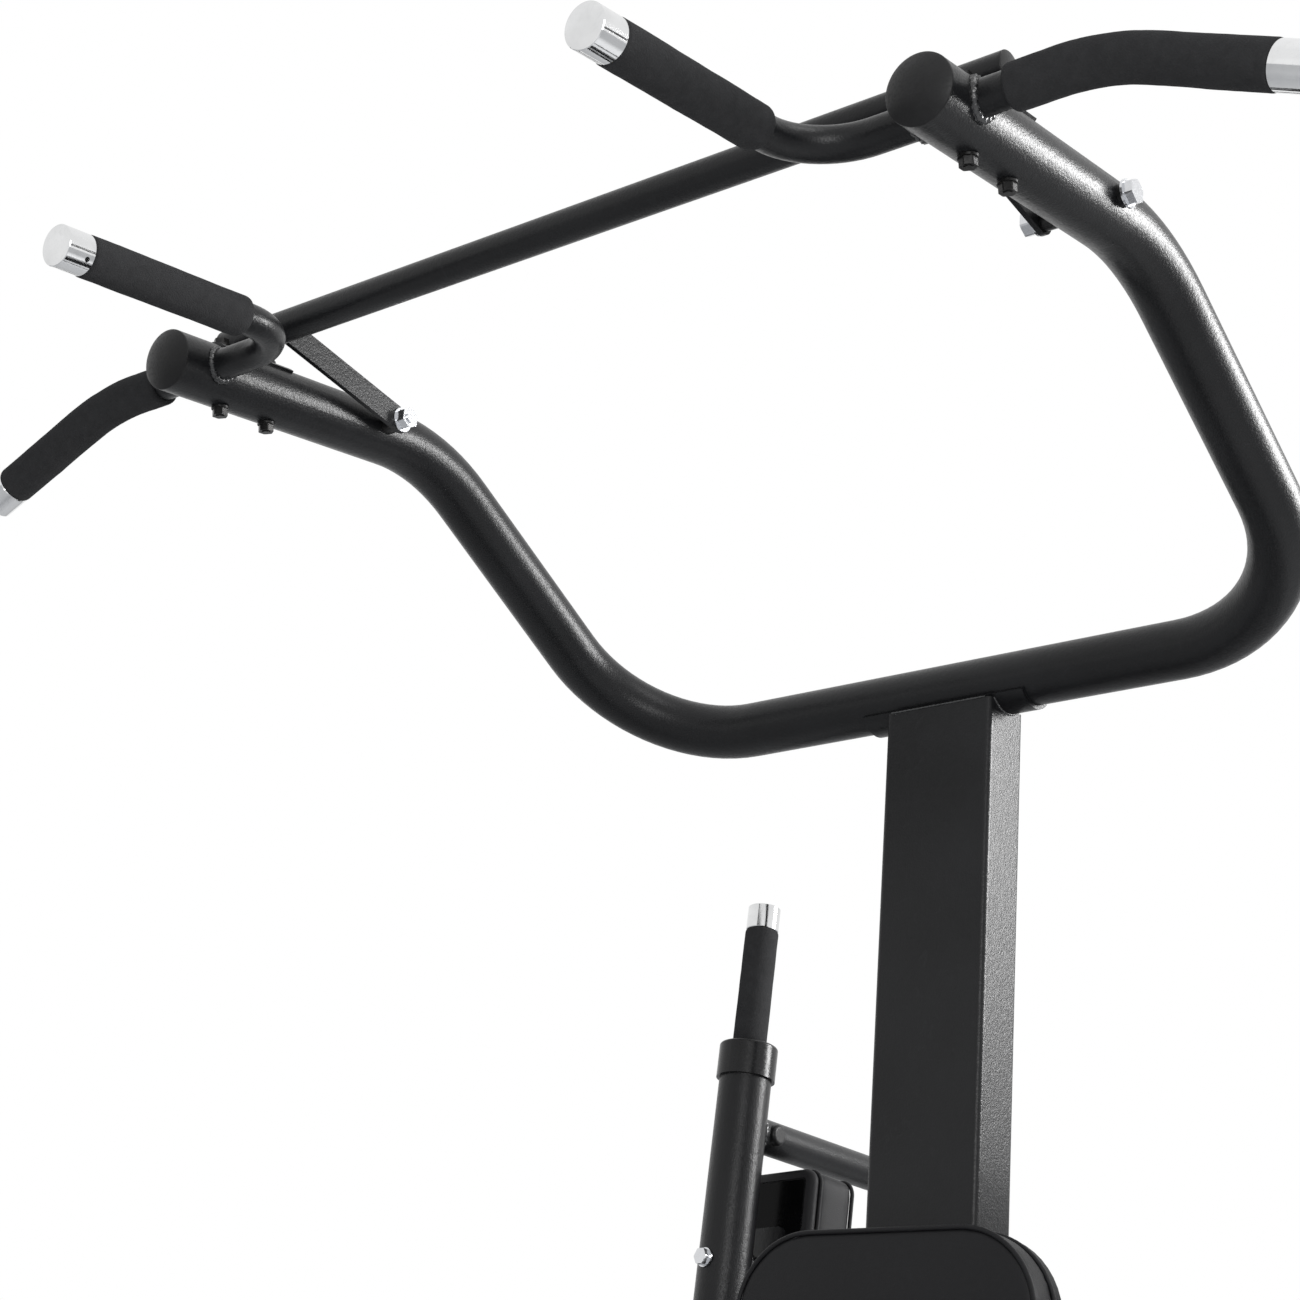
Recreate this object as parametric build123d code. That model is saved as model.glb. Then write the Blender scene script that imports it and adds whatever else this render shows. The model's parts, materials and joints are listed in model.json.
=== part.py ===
from build123d import *
import math
import os

# Seated abdominal crunch machine with a chin-up frame on its column.
# Millimetres. +Z is up, the front is -Y, and "left" is -X, as seen by someone
# who faces the front of the machine. While it is modelled, Y = 0 is the front
# face of the column; CENTRE_SHIFT then moves every piece so that the origin is
# the middle of the machine's footprint on the floor.

# ---------------------------------------------------------------- floor frame
RUBBER_T = 8.0
ANCHOR_PLATE_T = 6.0
ANCHOR_PLATE_X = 90.0
ANCHOR_PLATE_REACH = 44.0
ANCHOR_X = 440.0
ANCHOR_HOLE_D = 12.0
BEAM_W = 120.0
BEAM_H = 60.0
BEAM_WALL = 3.0
BEAM_CORNER = 8.0
FOOT_D = 80.0
FRONT_FOOT_L = 1000.0
REAR_FOOT_L = 1000.0
FRONT_FOOT_Y = -790.0
REAR_FOOT_Y = 718.0
PLUG_T = 4.0
PLUG_DEPTH = 16.0

# --------------------------------------------------------------------- column
COLUMN_TOP = 1900.0
COLUMN_W = 120.0
COLUMN_D = 64.0
COLUMN_WALL = 3.0
COLUMN_CORNER = 6.0
GUSSET_T = 8.0
GUSSET_H = 110.0
GUSSET_L = 80.0
GUSSET_X = 44.0

# ------------------------------------------------- rear post, link and bumper
SQUARE = 60.0
SQUARE_WALL = 3.0
SQUARE_CORNER = 5.0
REAR_POST_Y = 600.0
LINK_Z = 600.0
BUMPER_D = 56.0
BUMPER_H = 34.0
BUMPER_SEAT_W = 80.0
BUMPER_SEAT_T = 6.0
REST_GAP = 0.3

# -------------------------------------------------------------- chin-up frame
CHIN_TUBE_D = 57.0
CHIN_WALL = 3.0
CHIN_BACK_Y = 29.4
CHIN_BACK_RISE = 24.2
ARM_ROOT_X = 396.0
ARM_CREST_X = 401.0
ARM_CREST_Y = -348.5
ARM_CREST_RISE = 222.8
ARM_TIP_X = 402.0
ARM_TIP_Y = -699.3
ARM_TIP_RISE = 164.0
ROOT_BEND_R = 150.0
CREST_BEND_R = 190.0
CHIN_PLUG_T = 9.0
CHIN_PLUG_DOME = 8.0
CHIN_SADDLE_T = 4.0
CHIN_SADDLE_HALF_X = 92.0
CHIN_SADDLE_SPREAD = 100.0

# --------------------------------------------------------- crossbar and grips
CROSSBAR_D = 30.0
CROSSBAR_WALL = 3.0
CROSSBAR_PLUG_DOME = 3.0
CROSSBAR_HALF = 428.0
CROSSBAR_SETBACK = 102.2
CROSSBAR_SADDLE_T = 2.5
CROSSBAR_SADDLE_L = 88.0
CROSSBAR_SADDLE_SPREAD = 84.0
CROSSBAR_BOLT_PITCH = 58.0
STRUT_W = 25.0
STRUT_T = 5.0
STRUT_X = 354.5
STRUT_SETBACK = 267.0
STRUT_SLEEVE_D = 20.0
STRUT_SLEEVE_PROUD = 4.0

GRIP_ROD_D = 29.0
GRIP_ROD_WALL = 3.0
FOAM_D = 37.0
GRIP_CAP_D = 36.0
GRIP_CAP_L = 33.0
GRIP_CAP_BORE_DEPTH = 27.0
GRUB_HOLE_D = 4.5
GRUB_SETBACK = 7.0
GRUB_DROP = 35.0  # degrees below level, on the inner side of the inner grips
GRIP_FIT = 0.2
GRIP_SETBACK = 50.3
INNER_GRIP_X = 277.0
INNER_GRIP_BEND_R = 60.0
INNER_GRIP_L = 270.0
INNER_FOAM_L = 169.0
OUTER_GRIP_BEND_X = 530.0
OUTER_GRIP_DROP = 23.9
OUTER_GRIP_BEND_R = 190.0
OUTER_GRIP_REACH = 168.0
OUTER_FOAM_START_X = 454.0

# ------------------------------------------------------------------ fasteners
M8 = 8.0
M8_AF = 13.0
M8_HEAD = 5.3
M8_NUT = 6.8
M10 = 10.0
M10_AF = 16.0
M10_HEAD = 6.4
M10_NUT = 8.4
M12 = 12.0
M12_AF = 19.0
M12_HEAD = 7.5
M12_NUT = 10.0
WASHER_T = 2.0
BOLT_CLEARANCE = 0.5
HEX_BEVEL = 0.6

# ------------------------------------------------------------------- back pad
PAD_W = 319.0
PAD_H = 640.0
PAD_T = 53.5
PAD_TOP_DROP = 521.0
PAD_CORNER_R = 46.0
PAD_EDGE_R = 9.0
PAD_GAP = 10.0
BOARD_T = 12.0
BOARD_INSET = 8.0
SOFT_GAP = 0.3
PAD_BRACKET_W = 240.0
PAD_BRACKET_H = 50.0
PAD_BRACKET_DROP = 130.0
PAD_BRACKET_PITCH = 380.0
PAD_BOLT_X = 92.0

# ----------------------------------------------------------------------- seat
SEAT_POST_W = 60.0
SEAT_POST_WALL = 3.0
SLIDE_FIT = 0.3
SLEEVE_WALL = 4.0
SLEEVE_Y = -262.0
SLEEVE_TOP = 390.0
SEAT_POST_BOTTOM = 150.0
SEAT_TOP = 560.0
SEAT_TRAVEL = 120.0
SEAT_PAD_W = 370.0
SEAT_PAD_L = 400.0
SEAT_PAD_T = 62.0
SEAT_PAD_CORNER_R = 70.0
SEAT_PLATE_T = 6.0
SEAT_BOLT_INSET = 25.0
SEAT_PLATE_W = 200.0
SEAT_PLATE_L = 260.0
KNOB_DROP = 40.0
KNOB_BOSS_D = 24.0
KNOB_BOSS_L = 18.0
KNOB_D = 52.0
KNOB_L = 26.0
KNOB_LOBES = 6

# ------------------------------------------------------- foot plate and rollers
ROLLER_POST_Y = -800.0
ROLLER_POST_TOP = 322.0
ROLLER_Z = 282.0
ROLLER_BAR_D = 25.0
ROLLER_D = 100.0
ROLLER_L = 195.0
ROLLER_START = 42.0
ROLLER_CORE_D = 34.0
ROLLER_FLANGE_D = 84.0
ROLLER_FLANGE_T = 3.0
RUNNING_FIT = 0.08
ROLLER_STOP_D = 44.0
ROLLER_STOP_T = 12.0
FOOT_PLATE_W = 460.0
FOOT_PLATE_L = 210.0
FOOT_PLATE_T = 5.0
FOOT_PLATE_LIP = 28.0
FOOT_RISER_W = 100.0
FOOT_RISER_L = 140.0
FOOT_PLATE_Z = 150.0
FOOT_PLATE_FRONT = -768.0

# ---------------------------------------------------------------- crunch lever
PIVOT_Y = 142.5
PIVOT_Z = 850.0
LEVER_X = 355.0
LEVER_RECLINE = 4.5
POST_D = 57.0
POST_WALL = 3.0
SHAFT_D = 30.0
HUB_D = 70.0
HUB_L = 60.0
HOUSING_D = 76.0
HOUSING_WALL = 5.0
BEARING_W = 18.0
BEARING_FLANGE_T = 4.0
THRUST_GAP = 0.5
PIVOT_PLATE_T = 8.0
PIVOT_PLATE_H = 200.0
PIVOT_PLATE_R = 56.0
SHAFT_WASHER_D = 52.0
SHAFT_WASHER_T = 5.0
COLLAR_D = 64.0
COLLAR_L = 38.0
COLLAR_TOP_T = 5.0
COLLAR_TOP_Z = 1631.0
HANDLE_RISE = 160.0
HANDLE_CAP_L = 27.0
HANDLE_DEPTH = 110.0
LOOP_D = 38.0
LOOP_WALL = 2.5
LOOP_DROP = 91.7
LOOP_LOW_Z = 912.0
LOOP_BACK_Y = 600.0
LOOP_BEND_R = 92.0
LOOP_BUTTON_BACK = 14.0
LOOP_BUTTON_D = 23.0
LOOP_BUTTON_DOME = 5.0
LOOP_BUTTON_STEM_D = 12.0
LOOP_BUTTON_STEM_L = 12.0
CROSS_TUBE_D = 60.0
CROSS_TUBE_WALL = 3.0
CROSS_TUBE_Z = 1045.0
HORN_D = 49.0
HORN_WALL = 4.0
HORN_L = 190.0
HORN_FLANGE_D = 96.0
HORN_FLANGE_T = 8.0
HORN_PLUG_T = 6.0
ELBOW_TOE = 10.0
ELBOW_STANDOFF = 25.5
ELBOW_PAD_W = 134.0
ELBOW_PAD_H = 300.0
ELBOW_PAD_T = 66.0
ELBOW_PAD_DROP = 122.5
ELBOW_PAD_CORNER_R = 15.0
ELBOW_PAD_EDGE_R = 12.0
ELBOW_PAD_ROLL_R = 8.0
ELBOW_RIM = 13.0
ELBOW_BRACKET_W = 62.0
ELBOW_BRACKET_H = 170.0
ELBOW_BRACKET_T = 5.0
ELBOW_SPACER_D = 34.0
ELBOW_BOLT_DROP = 237.0
ELBOW_BOLT_PITCH = 70.0

# ------------------------------------------------------------ worked-out sizes
FLOOR_T = RUBBER_T + ANCHOR_PLATE_T
BEAM_TOP = FLOOR_T + BEAM_H
FRONT_FOOT_BACK = FRONT_FOOT_Y + FOOT_D / 2
REAR_FOOT_FRONT = REAR_FOOT_Y - FOOT_D / 2
CHIN_R = CHIN_TUBE_D / 2
ARM_ROOT = Vector(ARM_ROOT_X, CHIN_BACK_Y, COLUMN_TOP + CHIN_BACK_RISE)
ARM_CREST = Vector(ARM_CREST_X, ARM_CREST_Y, COLUMN_TOP + ARM_CREST_RISE)
ARM_TIP = Vector(ARM_TIP_X, ARM_TIP_Y, COLUMN_TOP + ARM_TIP_RISE)
ARM_DROP = math.degrees(math.atan2(ARM_CREST.Z - ARM_TIP.Z, ARM_CREST.Y - ARM_TIP.Y))
ARM_BACK = Vector(0, math.cos(math.radians(ARM_DROP)), math.sin(math.radians(ARM_DROP)))
ARM_UP = Vector(0, -math.sin(math.radians(ARM_DROP)), math.cos(math.radians(ARM_DROP)))
ARM_BACK_TRUE = (ARM_CREST - ARM_TIP).normalized()
RECLINE_SLOPE = math.tan(math.radians(LEVER_RECLINE))
LEVER_UP = Vector(0, math.sin(math.radians(LEVER_RECLINE)), math.cos(math.radians(LEVER_RECLINE)))
HANDLE_TOP_Z = COLLAR_TOP_Z + HANDLE_RISE
LOOP_TOP_Z = COLLAR_TOP_Z - LOOP_DROP
ELBOW_PAD_TOP_Z = COLLAR_TOP_Z - ELBOW_PAD_DROP
ELBOW_BOLT_Z = COLLAR_TOP_Z - ELBOW_BOLT_DROP
PAD_TOP = COLUMN_TOP - PAD_TOP_DROP
LEVER_BACK = Vector(0, LEVER_UP.Z, -LEVER_UP.Y)
ELBOW_FACE = POST_D / 2 + ELBOW_STANDOFF
ELBOW_COS = math.cos(math.radians(ELBOW_TOE))
ELBOW_SIN = math.sin(math.radians(ELBOW_TOE))
ELBOW_ACROSS = Vector(ELBOW_COS, 0, 0) + LEVER_BACK * ELBOW_SIN
ELBOW_BACK = LEVER_BACK * ELBOW_COS - Vector(ELBOW_SIN, 0, 0)
INNER_GRIP_TIP_Y = ARM_TIP_Y + GRIP_SETBACK * ARM_BACK.Y - INNER_GRIP_L * ARM_BACK.Y
FRONT_REACH = INNER_GRIP_TIP_Y - GRIP_CAP_D / 2 * math.sin(math.radians(ARM_DROP))
REAR_REACH = REAR_FOOT_Y + FOOT_D / 2
CENTRE_SHIFT = -(FRONT_REACH + REAR_REACH) / 2


# --------------------------------------------------------------------- helpers
def save(name, *solids):
    """Write one named piece, or a group of like pieces, to its own file."""
    placed = [Pos(0, CENTRE_SHIFT, 0) * solid for solid in solids]
    shape = placed[0] if len(placed) == 1 else Compound(children=placed)
    export_step(shape, f"parts/{name}.step")


def both_sides(solid):
    """The piece on the +X side and its mirror image on the -X side."""
    return [solid, mirror(solid, about=Plane.YZ)]


def bent_tube(points, radii, diameter, wall):
    """Round tube along straight runs joined by tangent bends."""
    path = FilletPolyline(*points, radius=radii)
    section = Plane(origin=path @ 0, z_dir=path % 0)
    ring = Circle(diameter / 2) - Circle(diameter / 2 - wall)
    return sweep(section * ring, path=path)


def rod(start, end, diameter, bore=0.0):
    """Straight round bar or tube between two points."""
    start = Vector(start)
    end = Vector(end)
    plane = Plane(origin=start, z_dir=end - start)
    face = Circle(diameter / 2)
    if bore > 0:
        face -= Circle(bore / 2)
    return extrude(plane * face, (end - start).length)


def box_tube(start, end, across, up, wall, corner, up_dir=(0, 0, 1)):
    """Straight rectangular tube between two points; 'up' is its size along up_dir."""
    start = Vector(start)
    end = Vector(end)
    side = Vector(up_dir).cross(end - start).normalized()
    plane = Plane(origin=start, x_dir=side, z_dir=end - start)
    outer = RectangleRounded(across, up, corner)
    inner = RectangleRounded(across - 2 * wall, up - 2 * wall, corner - wall * 0.8)
    return extrude(plane * (outer - inner), (end - start).length)


def block(x0, x1, y0, y1, z0, z1):
    """Plain rectangular solid between its corners."""
    middle = Pos((x0 + x1) / 2, (y0 + y1) / 2, (z0 + z1) / 2)
    return middle * Box(x1 - x0, y1 - y0, z1 - z0)


def hexagon(origin, direction, across_flats, height):
    """Hexagonal head or nut with bevelled outer corners."""
    plane = Plane(origin=origin, z_dir=direction)
    head = extrude(plane * RegularPolygon(across_flats / 2, 6, major_radius=False), height)
    return head & rod(plane.origin, plane.origin + plane.z_dir * height, across_flats * 1.11)


def hex_bolt(seat, direction, shank, diameter, across_flats, head):
    """Hex bolt whose washered head stands off 'seat' along 'direction'."""
    seat = Vector(seat)
    direction = Vector(direction).normalized()
    body = rod(seat, seat - direction * shank, diameter)
    body += rod(seat, seat + direction * WASHER_T, across_flats * 1.28)
    body += hexagon(seat + direction * WASHER_T, direction, across_flats, head)
    return body


def hex_nut(seat, direction, diameter, across_flats, height):
    """Washer and nut seated on 'seat', bored for its bolt."""
    seat = Vector(seat)
    direction = Vector(direction).normalized()
    body = rod(seat, seat + direction * WASHER_T, across_flats * 1.28)
    body += hexagon(seat + direction * WASHER_T, direction, across_flats, height)
    return body - rod(seat, seat + direction * (WASHER_T + height), diameter)


def lever_axis(z):
    """Point on the reclined axis of the +X lever post at height z."""
    return Vector(LEVER_X, PIVOT_Y + (z - PIVOT_Z) * RECLINE_SLOPE, z)


def arm_point(setback):
    """Point on the axis of the +X arm's front run, measured back from its tip."""
    return ARM_TIP + ARM_BACK_TRUE * setback


# ----------------------------------------------------------------- floor frame
def floor_frame():
    beam_z = FLOOR_T + BEAM_H / 2
    base_beam = box_tube(
        (0, FRONT_FOOT_BACK, beam_z), (0, REAR_FOOT_FRONT, beam_z), BEAM_W, BEAM_H, BEAM_WALL, BEAM_CORNER
    )
    save("base_beam", base_beam)
    feet = []
    plugs = [roller_post_plug()]
    for foot_y, length in ((FRONT_FOOT_Y, FRONT_FOOT_L), (REAR_FOOT_Y, REAR_FOOT_L)):
        end_x = length / 2 - PLUG_T
        ends = [(-end_x, foot_y, beam_z), (end_x, foot_y, beam_z)]
        feet.append(box_tube(ends[0], ends[1], FOOT_D, BEAM_H, BEAM_WALL, BEAM_CORNER))
        for side in (-1, 1):
            plugs.append(foot_plug(side, side * end_x, foot_y, beam_z))
    save("cross_feet", *feet)
    save("square_end_plugs", *plugs)
    save("anchor_plates", *[anchor_pad(x, y, RUBBER_T, ANCHOR_PLATE_T, 0) for x, y in anchor_places()])
    save("rubber_feet", *[anchor_pad(x, y, 0, RUBBER_T, 2) for x, y in anchor_places()])


def foot_plug(side, x, foot_y, beam_z):
    """Plastic end plug: a lip the size of the tube and a spigot inside it."""
    plane = Plane(origin=(x, foot_y, beam_z), x_dir=(0, 1, 0), z_dir=(side, 0, 0))
    lip = extrude(plane * RectangleRounded(FOOT_D, BEAM_H, BEAM_CORNER), PLUG_T)
    lip = chamfer(lip.faces().sort_by(Axis.X)[-1 if side > 0 else 0].edges(), PLUG_T * 0.4)
    inside = RectangleRounded(
        FOOT_D - 2 * BEAM_WALL - GRIP_FIT, BEAM_H - 2 * BEAM_WALL - GRIP_FIT, BEAM_CORNER - BEAM_WALL * 0.8
    )
    return lip + extrude(plane * inside, -PLUG_DEPTH)


def roller_post_plug():
    """Plastic plug in the top of the roller post."""
    base = Pos(0, ROLLER_POST_Y, ROLLER_POST_TOP - PLUG_T)
    lip = base * extrude(RectangleRounded(SQUARE, SQUARE, SQUARE_CORNER), PLUG_T)
    lip = chamfer(lip.faces().sort_by(Axis.Z)[-1].edges(), PLUG_T * 0.4)
    inside = SQUARE - 2 * SQUARE_WALL - GRIP_FIT
    corner = SQUARE_CORNER - SQUARE_WALL * 0.8
    return lip + base * extrude(RectangleRounded(inside, inside, corner), -PLUG_DEPTH)


def anchor_places():
    """Centres of the four anchor holes, as (x, y)."""
    inset = FOOT_D / 2 + ANCHOR_PLATE_REACH / 2
    return [(sx * ANCHOR_X, y) for y in (FRONT_FOOT_Y + inset, REAR_FOOT_Y - inset) for sx in (-1, 1)]


def anchor_pad(x, hole_y, z0, thickness, inset):
    """Flat pad under a foot's end that reaches inwards to its anchor hole."""
    inward = 1 if hole_y < 0 else -1
    foot_y = FRONT_FOOT_Y if hole_y < 0 else REAR_FOOT_Y
    near = foot_y - inward * FOOT_D / 2
    far = near + inward * (FOOT_D + ANCHOR_PLATE_REACH)
    face = Pos(x, (near + far) / 2) * RectangleRounded(
        ANCHOR_PLATE_X - 2 * inset, abs(far - near) - 2 * inset, 12 - inset
    )
    face -= Pos(x, hole_y) * Circle(ANCHOR_HOLE_D / 2)
    return Pos(0, 0, z0) * extrude(face, thickness)


# ---------------------------------------------------------------------- column
def column():
    tube = box_tube(
        (0, COLUMN_D / 2, BEAM_TOP), (0, COLUMN_D / 2, COLUMN_TOP),
        COLUMN_W, COLUMN_D, COLUMN_WALL, COLUMN_CORNER, up_dir=(0, 1, 0),
    )
    scoop_d = CHIN_TUBE_D + 2 * CHIN_SADDLE_T
    scoop = rod((-COLUMN_W, CHIN_BACK_Y, ARM_ROOT.Z), (COLUMN_W, CHIN_BACK_Y, ARM_ROOT.Z), scoop_d)
    save("upright", tube - scoop)
    gussets = []
    for side in (-1, 1):
        for y0, reach in ((0.0, -GUSSET_L), (COLUMN_D, GUSSET_L)):
            outline = Polyline((y0, BEAM_TOP), (y0 + reach, BEAM_TOP), (y0, BEAM_TOP + GUSSET_H), close=True)
            x0 = side * GUSSET_X - GUSSET_T / 2
            plane = Plane(origin=(x0, 0, 0), x_dir=(0, 1, 0), z_dir=(1, 0, 0))
            gussets.append(extrude(plane * make_face(outline), GUSSET_T))
    save("column_gussets", *gussets)


def chin_frame():
    front = [arm_point(CHIN_PLUG_T), ARM_CREST, ARM_ROOT]
    other = [Vector(-p.X, p.Y, p.Z) for p in reversed(front)]
    radii = [CREST_BEND_R, ROOT_BEND_R, ROOT_BEND_R, CREST_BEND_R]
    tube = bent_tube(front + other, radii, CHIN_TUBE_D, CHIN_WALL)
    tube -= rod_holes_in_arms()
    save("chin_frame", tube)

    saddle = arc_shell(CHIN_R, CHIN_SADDLE_T, CHIN_SADDLE_SPREAD, -90, CHIN_SADDLE_HALF_X)
    save("chin_saddle", Pos(0, CHIN_BACK_Y, ARM_ROOT.Z) * saddle)

    plane = Plane(origin=arm_point(CHIN_PLUG_T), z_dir=-ARM_BACK_TRUE)
    lip = extrude(plane * Circle(CHIN_R), CHIN_PLUG_T)
    lip = fillet(lip.edges().sort_by(Axis.Y)[0], CHIN_PLUG_DOME)
    spigot = extrude(plane * Circle(CHIN_R - CHIN_WALL - GRIP_FIT / 2), -PLUG_DEPTH)
    save("round_end_plugs", *both_sides(lip + spigot), *both_sides(crossbar_plug()))


def arc_shell(inner_r, thickness, spread, middle, half_x):
    """Part of a tube wall about the X axis; angles in degrees in the YZ plane."""
    first = middle - spread / 2
    outer_r = inner_r + thickness
    start = Plane(origin=(-half_x, 0, 0), x_dir=(0, 1, 0), z_dir=(1, 0, 0))
    with BuildSketch() as outline:
        with BuildLine():
            outer = CenterArc((0, 0), outer_r, first, spread)
            inner = CenterArc((0, 0), inner_r, first, spread)
            Line(outer @ 0, inner @ 0)
            Line(outer @ 1, inner @ 1)
        make_face()
    return extrude(start * outline.sketch, 2 * half_x)


def rod_holes_in_arms():
    """Bolt holes through both arms, cut from the frame."""
    cuts = []
    for setback in crossbar_bolt_setbacks():
        centre = arm_point(setback)
        cuts.append(rod(centre - ARM_UP * CHIN_TUBE_D, centre + ARM_UP * CHIN_TUBE_D, M8 + BOLT_CLEARANCE))
    centre = arm_point(STRUT_SETBACK)
    side = Vector(CHIN_TUBE_D, 0, 0)
    cuts.append(rod(centre - side, centre + side, STRUT_SLEEVE_D))
    right = cuts[0] + cuts[1] + cuts[2]
    return right + mirror(right, about=Plane.YZ)


def crossbar_bolt_setbacks():
    return [CROSSBAR_SETBACK - CROSSBAR_BOLT_PITCH / 2, CROSSBAR_SETBACK + CROSSBAR_BOLT_PITCH / 2]


def crossbar_centre():
    """Point on the crossbar's axis above the middle of its +X saddle."""
    lift = CHIN_R + CROSSBAR_SADDLE_T + CROSSBAR_D / 2
    return arm_point(CROSSBAR_SETBACK) + ARM_UP * lift


def crossbar_plug():
    """Domed plug in the crossbar's +X end."""
    centre = crossbar_centre()
    end_x = CROSSBAR_HALF - PLUG_T
    lip = rod((end_x, centre.Y, centre.Z), (CROSSBAR_HALF, centre.Y, centre.Z), CROSSBAR_D)
    lip = fillet(lip.edges().sort_by(Axis.X)[-1], CROSSBAR_PLUG_DOME)
    spigot_d = CROSSBAR_D - 2 * CROSSBAR_WALL - GRIP_FIT
    return lip + rod((end_x, centre.Y, centre.Z), (end_x - PLUG_DEPTH, centre.Y, centre.Z), spigot_d)


# ------------------------------------------------------------------- crossbar
def crossbar():
    centre = crossbar_centre()
    end_x = CROSSBAR_HALF - PLUG_T
    axis = [(-end_x, centre.Y, centre.Z), (end_x, centre.Y, centre.Z)]
    save("crossbar", rod(axis[0], axis[1], CROSSBAR_D, CROSSBAR_D - 2 * CROSSBAR_WALL))

    # curved seat that hugs the top of each arm under the crossbar
    place = Plane(origin=arm_point(CROSSBAR_SETBACK), x_dir=ARM_BACK_TRUE, z_dir=ARM_UP)
    seat = place * arc_shell(CHIN_R, CROSSBAR_SADDLE_T, CROSSBAR_SADDLE_SPREAD, 90, CROSSBAR_SADDLE_L / 2)
    bolts = []
    for setback in crossbar_bolt_setbacks():
        point = arm_point(setback)
        top = point + ARM_UP * (CHIN_R + CROSSBAR_SADDLE_T)
        bottom = point - ARM_UP * CHIN_R
        seat -= rod(point, top + ARM_UP * M8, M8 + BOLT_CLEARANCE)
        shank = (top - bottom).length + WASHER_T + M8_NUT + 1.0
        bolts.append(hex_bolt(top, ARM_UP, shank, M8, M8_AF, M8_HEAD))
        bolts.append(hex_nut(bottom, -ARM_UP, M8, M8_AF, M8_NUT))
    save("crossbar_seats", *both_sides(seat))
    save("crossbar_bolts", *[piece for bolt in bolts for piece in both_sides(bolt)])
    crossbar_struts(centre)


def crossbar_struts(centre):
    """Flat bars that tie the crossbar back to a sleeved bolt through each arm."""
    low = arm_point(STRUT_SETBACK)
    plane = Plane(origin=(STRUT_X, 0, 0), x_dir=(0, 1, 0), z_dir=(1, 0, 0))
    foot = Vector(low.Y, low.Z)
    head = Vector(centre.Y, centre.Z + CROSSBAR_D * 0.2)
    run = (head - foot).normalized()
    across = Vector(-run.Y, run.X) * (STRUT_W / 2)
    bar = make_face(Polyline(foot + across, head + across, head - across, foot - across, close=True))
    bar += Pos(foot.X, foot.Y) * Circle(STRUT_W / 2)
    bar -= Pos(foot.X, foot.Y) * Circle((M12 + BOLT_CLEARANCE) / 2)
    bar -= Pos(centre.Y, centre.Z) * Circle(CROSSBAR_D / 2)
    strut = extrude(plane * bar, STRUT_T).solids().sort_by(Axis.Y)[-1]
    save("crossbar_struts", *both_sides(strut))

    outer_x = low.X + CHIN_R + STRUT_SLEEVE_PROUD
    inner_x = STRUT_X + STRUT_T
    sleeve = rod((inner_x, low.Y, low.Z), (outer_x, low.Y, low.Z), STRUT_SLEEVE_D, M12 + BOLT_CLEARANCE)
    save("strut_sleeves", *both_sides(sleeve))
    shank = outer_x - STRUT_X + WASHER_T + M12_NUT + 2.0
    bolt = hex_bolt((outer_x, low.Y, low.Z), (1, 0, 0), shank, M12, M12_AF, M12_HEAD)
    nut = hex_nut((STRUT_X, low.Y, low.Z), (-1, 0, 0), M12, M12_AF, M12_NUT)
    save("strut_bolts", *both_sides(bolt), *both_sides(nut))


# ----------------------------------------------------------------- chin grips
def grips():
    root = arm_point(GRIP_SETBACK)
    reach = ARM_BACK_TRUE * (2 * CHIN_TUBE_D)
    arm = rod(root - reach, root + reach, CHIN_TUBE_D)

    # inner grips run forward, side by side with the arm tips
    corner = Vector(INNER_GRIP_X, root.Y, root.Z)
    tip = corner - ARM_BACK * INNER_GRIP_L
    rod_tip = tip + ARM_BACK * (GRIP_CAP_L - GRIP_CAP_BORE_DEPTH)
    bar = bent_tube([root, corner, rod_tip], [INNER_GRIP_BEND_R], GRIP_ROD_D, GRIP_ROD_WALL) - arm
    save("inner_grip_rods", *both_sides(bar))
    foam_end = tip + ARM_BACK * GRIP_CAP_L
    foam = rod(foam_end, foam_end + ARM_BACK * INNER_FOAM_L, FOAM_D, GRIP_ROD_D + GRIP_FIT)
    foam = fillet(foam.edges().filter_by(GeomType.CIRCLE).group_by(SortBy.RADIUS)[-1], 1.5)
    save("inner_grip_foams", *both_sides(foam))
    drop = math.radians(GRUB_DROP)
    screw_way = Vector(-math.cos(drop), 0, 0) + ARM_BACK.cross(Vector(1, 0, 0)) * math.sin(drop)
    inner_cap = grip_cap(tip, ARM_BACK, GRIP_CAP_L, GRIP_ROD_D, screw_way)

    # outer grips leave the arm level and then slope down and out
    drop = math.radians(OUTER_GRIP_DROP)
    slope = Vector(math.cos(drop), 0, -math.sin(drop))
    corner = Vector(OUTER_GRIP_BEND_X, root.Y, root.Z)
    tip = corner + slope * OUTER_GRIP_REACH
    rod_tip = tip - slope * (GRIP_CAP_L - GRIP_CAP_BORE_DEPTH)
    bar = bent_tube([root, corner, rod_tip], [OUTER_GRIP_BEND_R], GRIP_ROD_D, GRIP_ROD_WALL) - arm
    save("outer_grip_rods", *both_sides(bar))
    foam_tip = tip - slope * GRIP_CAP_L
    start = Vector(OUTER_FOAM_START_X, root.Y, root.Z)
    wall = (FOAM_D - GRIP_ROD_D - GRIP_FIT) / 2
    foam = bent_tube([start, corner, foam_tip], [OUTER_GRIP_BEND_R], FOAM_D, wall)
    save("outer_grip_foams", *both_sides(foam))
    outer_cap = grip_cap(tip, -slope, GRIP_CAP_L, GRIP_ROD_D, Vector(0, 1, 0))
    save("grip_caps", *both_sides(inner_cap), *both_sides(outer_cap))


def save_pair(name, right_solid):
    """Write the +X piece and its mirror image as two named pieces."""
    save(f"right_{name}", right_solid)
    save(f"left_{name}", mirror(right_solid, about=Plane.YZ))


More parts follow.
